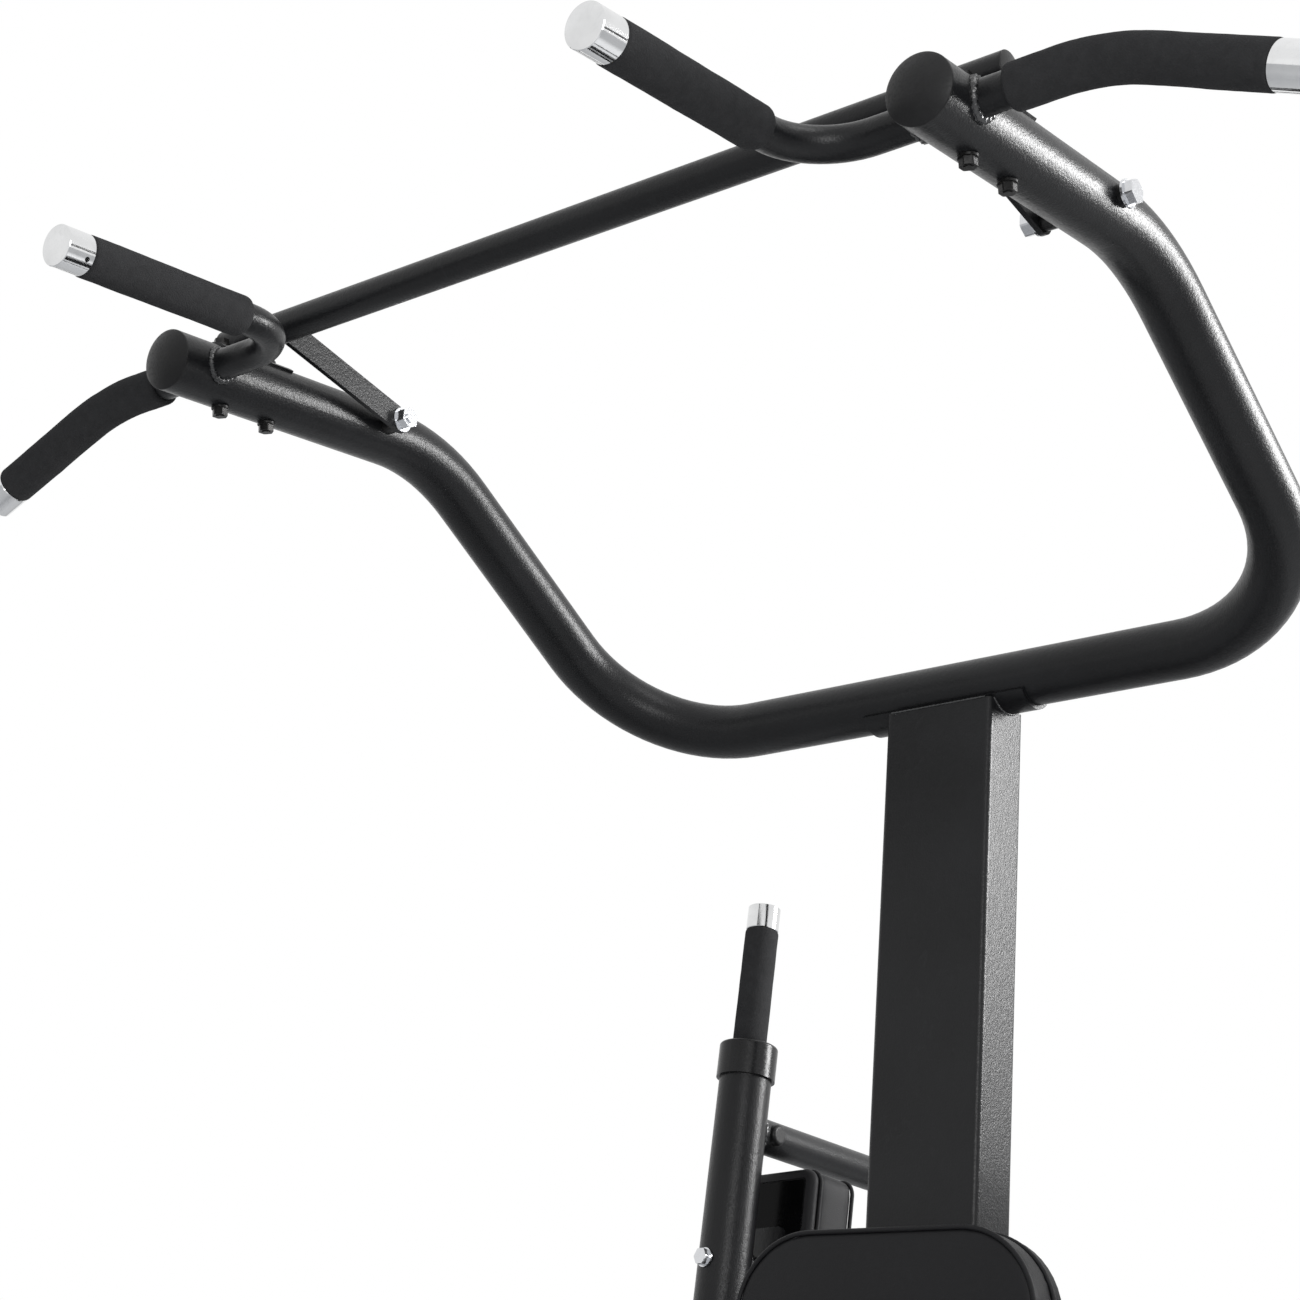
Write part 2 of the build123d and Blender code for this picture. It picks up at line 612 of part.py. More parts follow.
def grip_cap(tip, inward, length, bar_d, screw_way):
    """Turned end cap: a cup over the bar's end with a grub-screw hole on one side."""
    cup = rod(tip, tip + inward * length, GRIP_CAP_D)
    cup = chamfer(cup.edges().filter_by(GeomType.CIRCLE), 0.6)
    cup -= rod(tip + inward * (length - GRIP_CAP_BORE_DEPTH), tip + inward * length, bar_d + GRIP_FIT)
    screw = tip + inward * (length - GRUB_SETBACK)
    return cup - rod(screw, screw + screw_way * GRIP_CAP_D, GRUB_HOLE_D)


# ------------------------------------------------------------------- back pad
def back_pad():
    back_y = -PAD_GAP
    front_y = back_y - PAD_T
    middle_z = PAD_TOP - PAD_H / 2
    plane = Plane(origin=(0, back_y, middle_z), x_dir=(1, 0, 0), z_dir=(0, -1, 0))
    pad = extrude(plane * RectangleRounded(PAD_W, PAD_H, PAD_CORNER_R), PAD_T)
    pad = fillet(pad.faces().sort_by(Axis.Y)[0].edges(), PAD_EDGE_R)
    pocket_w = PAD_W - 2 * BOARD_INSET + 2 * SOFT_GAP
    pocket_h = PAD_H - 2 * BOARD_INSET + 2 * SOFT_GAP
    pocket = RectangleRounded(pocket_w, pocket_h, PAD_CORNER_R - BOARD_INSET + SOFT_GAP)
    pad -= extrude(plane * pocket, BOARD_T + SOFT_GAP)
    save("back_pad", pad)
    board_w = PAD_W - 2 * BOARD_INSET
    board_h = PAD_H - 2 * BOARD_INSET
    board_face = RectangleRounded(board_w, board_h, PAD_CORNER_R - BOARD_INSET)
    board = extrude(plane * board_face, BOARD_T)

    brackets = []
    bolts = []
    for z in (PAD_TOP - PAD_BRACKET_DROP, PAD_TOP - PAD_BRACKET_DROP - PAD_BRACKET_PITCH):
        face = Plane(origin=(0, back_y, z), x_dir=(1, 0, 0), z_dir=(0, 1, 0))
        bar = extrude(face * RectangleRounded(PAD_BRACKET_W, PAD_BRACKET_H, 10), PAD_GAP)
        for x in (-PAD_BOLT_X, PAD_BOLT_X):
            hole = rod((x, back_y - BOARD_T, z), (x, 0, z), M10 + BOLT_CLEARANCE)
            bar -= hole
            board -= hole
            bolts.append(hex_bolt((x, 0, z), (0, 1, 0), PAD_GAP + BOARD_T - 1, M10, M10_AF, M10_HEAD))
        brackets.append(bar)
    save("back_pad_board", board)
    save("back_pad_brackets", *brackets)
    save("back_pad_bolts", *bolts)


# ----------------------------------------------------------------------- seat
def seat():
    sleeve_w = SEAT_POST_W + 2 * (SLIDE_FIT + SLEEVE_WALL)
    sleeve = box_tube(
        (0, SLEEVE_Y, BEAM_TOP), (0, SLEEVE_Y, SLEEVE_TOP),
        sleeve_w, sleeve_w, SLEEVE_WALL, SQUARE_CORNER + SLEEVE_WALL, up_dir=(0, 1, 0),
    )
    knob_z = SLEEVE_TOP - KNOB_DROP
    face_y = SLEEVE_Y - sleeve_w / 2
    boss = rod((0, face_y, knob_z), (0, face_y - KNOB_BOSS_L, knob_z), KNOB_BOSS_D)
    boss_end = (0, face_y - KNOB_BOSS_L, knob_z)
    screw_hole = rod(boss_end, (0, SLEEVE_Y - SEAT_POST_W / 2, knob_z), M12 + 2 * RUNNING_FIT)
    save("seat_sleeve", sleeve + boss - screw_hole)

    pad_bottom = SEAT_TOP - SEAT_PAD_T
    plate_bottom = pad_bottom - SEAT_PLATE_T
    post = box_tube(
        (0, SLEEVE_Y, SEAT_POST_BOTTOM), (0, SLEEVE_Y, plate_bottom),
        SEAT_POST_W, SEAT_POST_W, SEAT_POST_WALL, SQUARE_CORNER, up_dir=(0, 1, 0),
    )
    save("seat_post", post)
    plate = RectangleRounded(SEAT_PLATE_W, SEAT_PLATE_L, 20)
    board_w = SEAT_PAD_W - 2 * BOARD_INSET
    board_l = SEAT_PAD_L - 2 * BOARD_INSET
    board = RectangleRounded(board_w, board_l, SEAT_PAD_CORNER_R - BOARD_INSET)
    plate = extrude(Pos(0, SLEEVE_Y, plate_bottom) * plate, SEAT_PLATE_T)
    board = extrude(Pos(0, SLEEVE_Y, pad_bottom) * board, BOARD_T)
    bolts = []
    bolt_x = SEAT_PLATE_W / 2 - SEAT_BOLT_INSET
    bolt_y = SEAT_PLATE_L / 2 - SEAT_BOLT_INSET
    for x in (-bolt_x, bolt_x):
        for y in (SLEEVE_Y - bolt_y, SLEEVE_Y + bolt_y):
            hole = rod((x, y, plate_bottom), (x, y, pad_bottom + BOARD_T), M10 + BOLT_CLEARANCE)
            plate -= hole
            board -= hole
            shank = SEAT_PLATE_T + BOARD_T - 1
            bolts.append(hex_bolt((x, y, plate_bottom), (0, 0, -1), shank, M10, M10_AF, M10_HEAD))
    save("seat_plate", plate)
    save("seat_board", board)
    save("seat_bolts", *bolts)

    base = Pos(0, SLEEVE_Y, pad_bottom)
    pad = extrude(base * RectangleRounded(SEAT_PAD_W, SEAT_PAD_L, SEAT_PAD_CORNER_R), SEAT_PAD_T)
    pad = fillet(pad.faces().sort_by(Axis.Z)[-1].edges(), PAD_EDGE_R)
    pocket_r = SEAT_PAD_CORNER_R - BOARD_INSET + SOFT_GAP
    pocket = RectangleRounded(board_w + 2 * SOFT_GAP, board_l + 2 * SOFT_GAP, pocket_r)
    pad -= extrude(base * pocket, BOARD_T + SOFT_GAP)
    save("seat_pad", pad)
    save("seat_knob", clamp_knob(face_y, knob_z))


def clamp_knob(face_y, knob_z):
    """Lobed hand knob on the screw that clamps the seat post."""
    tip_y = SLEEVE_Y - SEAT_POST_W / 2 - REST_GAP
    knob_y = face_y - KNOB_BOSS_L - 2.0
    plane = Plane(origin=(0, knob_y, knob_z), z_dir=(0, -1, 0))
    lobe_r = KNOB_D * 0.16
    face = Circle(KNOB_D / 2 - lobe_r * 0.5)
    for location in PolarLocations(KNOB_D / 2 - lobe_r, KNOB_LOBES):
        face += location * Circle(lobe_r)
    head = extrude(plane * face, KNOB_L)
    head = chamfer(head.faces().sort_by(Axis.Y)[0].edges(), 2.0)
    return head + rod((0, knob_y, knob_z), (0, tip_y, knob_z), M12)


# ---------------------------------------------------- foot plate and rollers
def foot_rest():
    top = ROLLER_POST_TOP - PLUG_T
    post = box_tube(
        (0, ROLLER_POST_Y, BEAM_TOP), (0, ROLLER_POST_Y, top),
        SQUARE, SQUARE, SQUARE_WALL, SQUARE_CORNER, up_dir=(0, 1, 0),
    )
    end_x = ROLLER_START + ROLLER_L + 2 * THRUST_GAP + ROLLER_STOP_T
    axis = [(-end_x, ROLLER_POST_Y, ROLLER_Z), (end_x, ROLLER_POST_Y, ROLLER_Z)]
    save("roller_post", post - rod(axis[0], axis[1], ROLLER_BAR_D))
    bar = rod(axis[0], axis[1], ROLLER_BAR_D)
    for side in (-1, 1):
        for x in (ROLLER_START - THRUST_GAP, end_x):
            stop = rod(
                (side * (x - ROLLER_STOP_T if x == end_x else SQUARE / 2), ROLLER_POST_Y, ROLLER_Z),
                (side * x, ROLLER_POST_Y, ROLLER_Z), ROLLER_STOP_D,
            )
            bar += stop
    save("roller_bar", bar)

    bore = ROLLER_BAR_D + 2 * RUNNING_FIT
    x0 = ROLLER_START
    x1 = ROLLER_START + ROLLER_L
    core = rod((x0, ROLLER_POST_Y, ROLLER_Z), (x1, ROLLER_POST_Y, ROLLER_Z), ROLLER_CORE_D)
    for x in (x0, x1 - ROLLER_FLANGE_T):
        flange_end = (x + ROLLER_FLANGE_T, ROLLER_POST_Y, ROLLER_Z)
        core += rod((x, ROLLER_POST_Y, ROLLER_Z), flange_end, ROLLER_FLANGE_D)
    core -= rod((x0, ROLLER_POST_Y, ROLLER_Z), (x1, ROLLER_POST_Y, ROLLER_Z), bore)
    save_pair("roller_core", core)
    foam = rod(
        (x0 + ROLLER_FLANGE_T, ROLLER_POST_Y, ROLLER_Z), (x1 - ROLLER_FLANGE_T, ROLLER_POST_Y, ROLLER_Z),
        ROLLER_D, ROLLER_CORE_D,
    )
    foam = fillet(foam.edges().filter_by(GeomType.CIRCLE).group_by(SortBy.RADIUS)[-1], 7)
    save_pair("roller_foam", foam)

    back = FOOT_PLATE_FRONT + FOOT_PLATE_L
    half = FOOT_PLATE_W / 2
    tray = block(-half, half, FOOT_PLATE_FRONT, back, FOOT_PLATE_Z - FOOT_PLATE_LIP, FOOT_PLATE_Z)
    tray = fillet(tray.edges().filter_by(Axis.Z), 16)
    tray = fillet(tray.faces().sort_by(Axis.Z)[-1].edges(), 4)
    tray = offset(tray, -FOOT_PLATE_T, openings=tray.faces().sort_by(Axis.Z)[0])
    riser_y = (FOOT_PLATE_FRONT + back) / 2
    riser = box_tube(
        (0, riser_y, BEAM_TOP), (0, riser_y, FOOT_PLATE_Z - FOOT_PLATE_T),
        FOOT_RISER_W, FOOT_RISER_L, BEAM_WALL, SQUARE_CORNER, up_dir=(0, 1, 0),
    )
    save("foot_plate", tray + riser)


# ----------------------------------------------------- pivot, stop and lever
def rear_stop():
    seat_top = CROSS_TUBE_Z - CROSS_TUBE_D / 2 - REST_GAP - BUMPER_H
    post_top = seat_top - BUMPER_SEAT_T
    post = box_tube(
        (0, REAR_POST_Y, BEAM_TOP), (0, REAR_POST_Y, post_top),
        SQUARE, SQUARE, SQUARE_WALL, SQUARE_CORNER, up_dir=(0, 1, 0),
    )
    seat = extrude(RectangleRounded(BUMPER_SEAT_W, BUMPER_SEAT_W, 8), BUMPER_SEAT_T)
    seat = Pos(0, REAR_POST_Y, post_top) * seat
    save("rear_post", post + seat)
    link_end = (0, REAR_POST_Y - SQUARE / 2, LINK_Z)
    link = box_tube((0, COLUMN_D, LINK_Z), link_end, SQUARE, SQUARE, SQUARE_WALL, SQUARE_CORNER)
    save("link_beam", link)
    cone = Cone(BUMPER_D / 2, BUMPER_D / 2 - 6, BUMPER_H, align=(Align.CENTER, Align.CENTER, Align.MIN))
    bumper = Pos(0, REAR_POST_Y, seat_top) * fillet(cone.edges().sort_by(Axis.Z)[-1], 5)
    save("stop_bumper", bumper)


def pivot():
    hub_inner = LEVER_X - HUB_L / 2
    flange_x = hub_inner - THRUST_GAP
    housing_x = flange_x - BEARING_FLANGE_T
    at = lambda x: (x, PIVOT_Y, PIVOT_Z)
    bore = HOUSING_D - 2 * HOUSING_WALL
    save("pivot_housing", rod(at(-housing_x), at(housing_x), HOUSING_D, bore))
    bearing = rod(at(housing_x - BEARING_W), at(housing_x), bore)
    bearing += rod(at(housing_x), at(flange_x), HOUSING_D + 4)
    bearing -= rod(at(housing_x - BEARING_W), at(flange_x), SHAFT_D + 2 * RUNNING_FIT)
    save("pivot_bearings", *both_sides(bearing))

    # plates on both sides of the column carry the housing behind it
    lug = Pos(PIVOT_Y, PIVOT_Z) * Circle(PIVOT_PLATE_R)
    root = Pos(COLUMN_D / 2, PIVOT_Z) * RectangleRounded(COLUMN_D - 2 * COLUMN_CORNER, PIVOT_PLATE_H, 8)
    outline = make_hull(lug.edges() + root.edges())
    outline -= Pos(PIVOT_Y, PIVOT_Z) * Circle(HOUSING_D / 2)
    plane = Plane(origin=(COLUMN_W / 2, 0, 0), x_dir=(0, 1, 0), z_dir=(1, 0, 0))
    save("pivot_plates", *both_sides(extrude(plane * outline, PIVOT_PLATE_T)))


def lever():
    hub_outer = LEVER_X + HUB_L / 2
    at = lambda x: (x, PIVOT_Y, PIVOT_Z)
    save("pivot_shaft", rod(at(-hub_outer), at(hub_outer), SHAFT_D))
    washer = rod(at(hub_outer), at(hub_outer + SHAFT_WASHER_T), SHAFT_WASHER_D)
    washer = chamfer(washer.edges().sort_by(Axis.X)[-1], 1.5)
    washer += hexagon(at(hub_outer + SHAFT_WASHER_T), (1, 0, 0), M12_AF, M12_HEAD)
    save("shaft_end_caps", *both_sides(washer))

    # reclined side posts, coped on to a hub that is clamped on the shaft
    top = lever_axis(COLLAR_TOP_Z) - LEVER_UP * COLLAR_TOP_T
    hub = rod(at(LEVER_X - HUB_L / 2), at(hub_outer), HUB_D)
    post = rod(lever_axis(PIVOT_Z), top, POST_D, POST_D - 2 * POST_WALL) + hub
    post -= rod(at(LEVER_X - HUB_L / 2), at(hub_outer), SHAFT_D)
    for centre in elbow_bolt_points():
        post -= rod(centre - ELBOW_BACK * POST_D, centre + ELBOW_BACK * POST_D, M10 + BOLT_CLEARANCE)
    save("lever_posts", *both_sides(post))

    collar_top = lever_axis(COLLAR_TOP_Z)
    collar = rod(collar_top, collar_top - LEVER_UP * COLLAR_L, COLLAR_D)
    collar = fillet(collar.edges().filter_by(GeomType.CIRCLE).sort_by(Axis.Z)[-1], 3.0)
    collar -= rod(collar_top - LEVER_UP * COLLAR_TOP_T, collar_top - LEVER_UP * COLLAR_L, POST_D)
    collar -= rod(collar_top, collar_top - LEVER_UP * COLLAR_TOP_T, GRIP_ROD_D + GRIP_FIT)
    collar += rod(
        collar_top - LEVER_UP * COLLAR_TOP_T, collar_top - LEVER_UP * COLLAR_L,
        POST_D - 2 * POST_WALL, GRIP_ROD_D + GRIP_FIT,
    )
    save("lever_collars", *both_sides(collar))
    tip = lever_axis(HANDLE_TOP_Z)
    rod_tip = tip - LEVER_UP * 6.0
    handle = rod(collar_top - LEVER_UP * HANDLE_DEPTH, rod_tip, GRIP_ROD_D, GRIP_ROD_D - 2 * GRIP_ROD_WALL)
    save("lever_handles", *both_sides(handle))
    foam_top = tip - LEVER_UP * HANDLE_CAP_L
    foam = rod(collar_top, foam_top, FOAM_D, GRIP_ROD_D + GRIP_FIT)
    save("lever_foams", *both_sides(foam))
    cap = rod(tip, foam_top, GRIP_CAP_D)
    cap = chamfer(cap.edges().filter_by(GeomType.CIRCLE), 0.6)
    cap -= rod(rod_tip, foam_top, GRIP_ROD_D + GRIP_FIT)
    screw = foam_top + LEVER_UP * GRUB_SETBACK
    cap -= rod(screw, screw + Vector(0, GRIP_CAP_D, 0), GRUB_HOLE_D)
    save("lever_caps", *both_sides(cap))


def rear_loops():
    post = rod(lever_axis(LOOP_LOW_Z - 80), lever_axis(LOOP_TOP_Z + 80), POST_D)
    hub = rod((LEVER_X - HUB_L / 2, PIVOT_Y, PIVOT_Z), (LEVER_X + HUB_L / 2, PIVOT_Y, PIVOT_Z), HUB_D)
    points = [
        lever_axis(LOOP_TOP_Z),
        (LEVER_X, LOOP_BACK_Y, LOOP_TOP_Z),
        (LEVER_X, LOOP_BACK_Y, LOOP_LOW_Z),
        lever_axis(LOOP_LOW_Z),
    ]
    loop = bent_tube(points, [LOOP_BEND_R, LOOP_BEND_R], LOOP_D, LOOP_WALL) - post - hub
    buttons = [loop_button(side) for side in (-1, 1)]
    for button in buttons:
        loop -= button
    save("rear_loops", *both_sides(loop))
    return [piece for button in buttons for piece in both_sides(button)]


def loop_button(side):
    """Domed button in the inner (-1) or outer (+1) wall of the +X loop, by its front end."""
    y = lever_axis(LOOP_TOP_Z).Y + POST_D / 2 + LOOP_BUTTON_BACK
    at = lambda out: (LEVER_X + side * out, y, LOOP_TOP_Z)
    seat = LOOP_D / 2 - LOOP_BUTTON_D**2 / (4 * LOOP_D)
    head = rod(at(seat), at(LOOP_D / 2 + LOOP_BUTTON_DOME), LOOP_BUTTON_D)
    head = fillet(head.edges().sort_by(Axis.X)[-1 if side > 0 else 0], LOOP_BUTTON_DOME - 1)
    head -= rod((LEVER_X, y - LOOP_BUTTON_D, LOOP_TOP_Z), (LEVER_X, y + LOOP_BUTTON_D, LOOP_TOP_Z), LOOP_D)
    return head + rod(at(LOOP_D / 2 + 1), at(LOOP_D / 2 - LOOP_BUTTON_STEM_L), LOOP_BUTTON_STEM_D)


def cross_tube():
    run = rod((LEVER_X, LOOP_BACK_Y, LOOP_LOW_Z), (LEVER_X, LOOP_BACK_Y, LOOP_TOP_Z), LOOP_D)
    cross = rod(
        (-LEVER_X, LOOP_BACK_Y, CROSS_TUBE_Z), (LEVER_X, LOOP_BACK_Y, CROSS_TUBE_Z),
        CROSS_TUBE_D, CROSS_TUBE_D - 2 * CROSS_TUBE_WALL,
    )
    cross = (cross - run - mirror(run, about=Plane.YZ)).solids().sort_by(SortBy.VOLUME)[-1]
    save("rear_cross_tube", cross)
    return weight_horns(run)


def weight_horns(run):
    """Plate horns outboard of the loops, each with a flange; returns their end plugs."""
    flange_x = LEVER_X + LOOP_D / 2 + 6.0
    horn_x = flange_x + HORN_FLANGE_T
    end_x = horn_x + HORN_L
    at = lambda x: (x, LOOP_BACK_Y, CROSS_TUBE_Z)
    stub = rod(at(LEVER_X), at(flange_x), CROSS_TUBE_D) - run
    stub = stub.solids().sort_by(Axis.X)[-1]
    flange = rod(at(flange_x), at(horn_x), HORN_FLANGE_D)
    flange = chamfer(flange.edges().filter_by(GeomType.CIRCLE), 1.5)
    sleeve = rod(at(horn_x), at(end_x), HORN_D, HORN_D - 2 * HORN_WALL)
    save("weight_horns", *both_sides(stub + flange), *both_sides(sleeve))
    plug = rod(at(end_x), at(end_x + HORN_PLUG_T), HORN_D)
    plug = fillet(plug.edges().sort_by(Axis.X)[-1], 4)
    plug += rod(at(end_x), at(end_x - PLUG_DEPTH), HORN_D - 2 * HORN_WALL - GRIP_FIT)
    return both_sides(plug)


def elbow_bolt_points():
    """Where the elbow pad's two bolts cross the axis of the +X post."""
    return [lever_axis(ELBOW_BOLT_Z), lever_axis(ELBOW_BOLT_Z - ELBOW_BOLT_PITCH)]


def elbow_pads():
    """Pads behind the posts for the elbows to push on, each on a bracket bolted through its post."""
    middle = lever_axis(ELBOW_PAD_TOP_Z) - LEVER_UP * (ELBOW_PAD_H / 2)
    face = Plane(origin=middle + ELBOW_BACK * ELBOW_FACE, x_dir=ELBOW_ACROSS, z_dir=ELBOW_BACK)
    pad = extrude(face * RectangleRounded(ELBOW_PAD_W, ELBOW_PAD_H, ELBOW_PAD_CORNER_R), ELBOW_PAD_T)
    depth = Axis(tuple(middle), tuple(ELBOW_BACK))
    pad = fillet(pad.faces().sort_by(depth)[-1].edges(), ELBOW_PAD_EDGE_R)
    pad = fillet(pad.faces().sort_by(depth)[0].edges(), ELBOW_PAD_ROLL_R)
    board_w = ELBOW_PAD_W - 2 * ELBOW_RIM
    board_h = ELBOW_PAD_H - 2 * ELBOW_RIM
    pocket = RectangleRounded(board_w + 2 * SOFT_GAP, board_h + 2 * SOFT_GAP, 4 + SOFT_GAP)
    pad -= extrude(face * pocket, BOARD_T + SOFT_GAP)
    save("arm_pads", *both_sides(pad))

    board = extrude(face * RectangleRounded(board_w, board_h, 4), BOARD_T)
    bolt_middle = (elbow_bolt_points()[0] + elbow_bolt_points()[1]) / 2
    back = Plane(origin=bolt_middle + ELBOW_BACK * ELBOW_FACE, x_dir=ELBOW_ACROSS, z_dir=ELBOW_BACK)
    bracket = extrude(back * RectangleRounded(ELBOW_BRACKET_W, ELBOW_BRACKET_H, 8), -ELBOW_BRACKET_T)
    post = rod(lever_axis(ELBOW_PAD_TOP_Z - ELBOW_PAD_H), lever_axis(ELBOW_PAD_TOP_Z), POST_D)
    bolts = []
    for centre in elbow_bolt_points():
        plate_front = centre + ELBOW_BACK * (ELBOW_FACE - ELBOW_BRACKET_T)
        bracket += rod(centre, plate_front, ELBOW_SPACER_D) - post
    for centre in elbow_bolt_points():
        board_back = centre + ELBOW_BACK * (ELBOW_FACE + BOARD_T)
        bracket -= rod(centre, board_back, M10)
        board -= rod(centre, board_back, M10 + BOLT_CLEARANCE)
        seat = centre - ELBOW_BACK * (POST_D / 2)
        shank = POST_D / 2 + ELBOW_FACE + BOARD_T - 1
        bolts += both_sides(hex_bolt(seat, -ELBOW_BACK, shank, M10, M10_AF, M10_HEAD))
    save("arm_pad_brackets", *both_sides(bracket))
    save("arm_pad_boards", *both_sides(board))
    save("lever_bolts", *bolts)


def main():
    os.makedirs("parts", exist_ok=True)
    floor_frame()
    column()
    chin_frame()
    crossbar()
    grips()
    back_pad()
    seat()
    foot_rest()
    rear_stop()
    pivot()
    lever()
    save("lever_plugs", *rear_loops(), *cross_tube())
    elbow_pads()


main()
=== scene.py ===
import json
import math

import bmesh
import bpy
from mathutils import Matrix, Vector, noise
from mathutils.bvhtree import BVHTree

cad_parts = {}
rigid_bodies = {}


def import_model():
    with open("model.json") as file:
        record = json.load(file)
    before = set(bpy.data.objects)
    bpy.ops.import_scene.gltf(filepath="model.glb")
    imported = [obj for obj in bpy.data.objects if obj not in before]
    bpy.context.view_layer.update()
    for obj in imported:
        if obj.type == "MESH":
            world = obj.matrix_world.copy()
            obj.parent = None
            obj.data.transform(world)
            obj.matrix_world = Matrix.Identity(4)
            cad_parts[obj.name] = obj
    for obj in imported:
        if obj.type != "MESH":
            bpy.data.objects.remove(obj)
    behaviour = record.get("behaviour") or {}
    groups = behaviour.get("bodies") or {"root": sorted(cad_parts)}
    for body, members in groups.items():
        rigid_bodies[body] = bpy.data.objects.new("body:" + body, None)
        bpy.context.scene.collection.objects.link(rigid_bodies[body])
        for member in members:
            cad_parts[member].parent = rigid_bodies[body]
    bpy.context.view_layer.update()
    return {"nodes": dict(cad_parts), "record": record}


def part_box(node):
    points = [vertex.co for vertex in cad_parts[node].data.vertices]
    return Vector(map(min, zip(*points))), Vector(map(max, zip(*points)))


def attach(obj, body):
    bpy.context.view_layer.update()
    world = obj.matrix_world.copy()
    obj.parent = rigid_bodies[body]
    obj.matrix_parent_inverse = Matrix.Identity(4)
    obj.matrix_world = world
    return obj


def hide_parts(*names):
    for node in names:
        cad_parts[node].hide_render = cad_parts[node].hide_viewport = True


bl_info = {
    "name": "Ab crunch machine",
    "version": (1, 0, 0),
    "blender": (4, 5, 0),
    "location": "View3D > Sidebar > Crunch",
    "description": "Finishes, pads, foam grips and welds of a crunch machine with a chin-up frame",
    "category": "Object",
}

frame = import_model()

MM = 0.001
TOUCH = 0.01 * MM  # two places nearer than this are the same place
LEFT_FROM_RIGHT = Matrix.Scale(-1, 4, (1, 0, 0))
FRAME_SLOTS = {entry["node"]: entry["material_slot"] for entry in frame["record"]["subparts"]}


def millimetres(name, default, description):
    """A length property whose default is written in millimetres."""
    return bpy.props.FloatProperty(
        name=name, description=description, default=default * MM, min=0.0, subtype="DISTANCE", unit="LENGTH"
    )


def degrees(name, default, description):
    """An angle property whose default is written in degrees."""
    return bpy.props.FloatProperty(
        name=name, description=description, default=math.radians(default), subtype="ANGLE"
    )


def number(name, default, description, unit="NONE"):
    return bpy.props.FloatProperty(name=name, description=description, default=default, unit=unit)


def colour(name, default, description):
    return bpy.props.FloatVectorProperty(
        name=name, description=description, default=default, size=3, min=0.0, max=1.0, subtype="COLOR"
    )


# ------------------------------------------------------------------- settings
class FinishSettings(bpy.types.PropertyGroup):
    paint: colour("Paint", (0.0085, 0.0087, 0.0095), "Colour of the powder coat")
    vinyl: colour("Vinyl", (0.0105, 0.0105, 0.0115), "Colour of the upholstery")
    foam: colour("Foam", (0.034, 0.034, 0.035), "Colour of the grip foam")
    plastic: colour("Plastic", (0.0090, 0.0090, 0.0095), "Colour of plugs, cores and knob")
    chrome: colour("Chrome", (0.78, 0.785, 0.79), "Colour of the bright plated parts")
    zinc: colour("Zinc", (0.72, 0.73, 0.75), "Colour of the bolts")


class PadSettings(bpy.types.PropertyGroup):
    voxel: millimetres("Remesh size", 5.0, "Edge length of the remeshed pad before it is stuffed")
    swell: millimetres("Swell", 4.5, "Most that the stuffing moves a side panel outwards")
    crown: millimetres("Crown", 8.0, "Most that the stuffing moves the front panel outwards")
    shrink: millimetres("Cut smaller", 2.6, "How much smaller each side is before it swells")
    piping: millimetres("Piping radius", 2.3, "Radius of the piping along the seams")
    seam_sink: millimetres("Piping sink", 0.6, "How deep the piping sits in the side panel")
    front_seam: millimetres("Front seam", 1.75, "How far the front piping lies behind the front panel")
    rear_seam: millimetres("Rear seam", 1.2, "How far the rear piping lies in front of the board")
    rim: millimetres("Rim radius", 5.0, "Small radius where a panel turns over the seam")
    board: millimetres("Board depth", 12.3, "Depth of the board let into a pad")
    panel_rim: millimetres("Panel rim", 0.8, "Rounding of the edges of the back pad's plywood panel")
    fold: millimetres("Fold width", 5.0, "Width of the vinyl folded over the board of a large pad")
    fold_roll: millimetres("Fold rounding", 1.5, "Rounding of that fold's edges")
    back_corner: millimetres("Back pad corner", 79.0, "Corner radius of the back pad")
    seat_corner: millimetres("Seat corner", 70.0, "Corner radius of the seat pad")
    elbow_corner: millimetres("Elbow pad corner", 19.0, "Corner radius of the elbow pads")
    elbow_fold: millimetres("Elbow pad fold", 12.4, "Width of the vinyl rolled round the elbow pad's board")
    elbow_roll: millimetres("Elbow fold rounding", 6.0, "Rounding of the edges of that rolled vinyl")
    elbow_toe: degrees("Elbow pad toe", 10.0, "How far the elbow pads turn inwards")
    recline: degrees("Lever recline", 4.5, "How far the lever's posts and handles lean back")


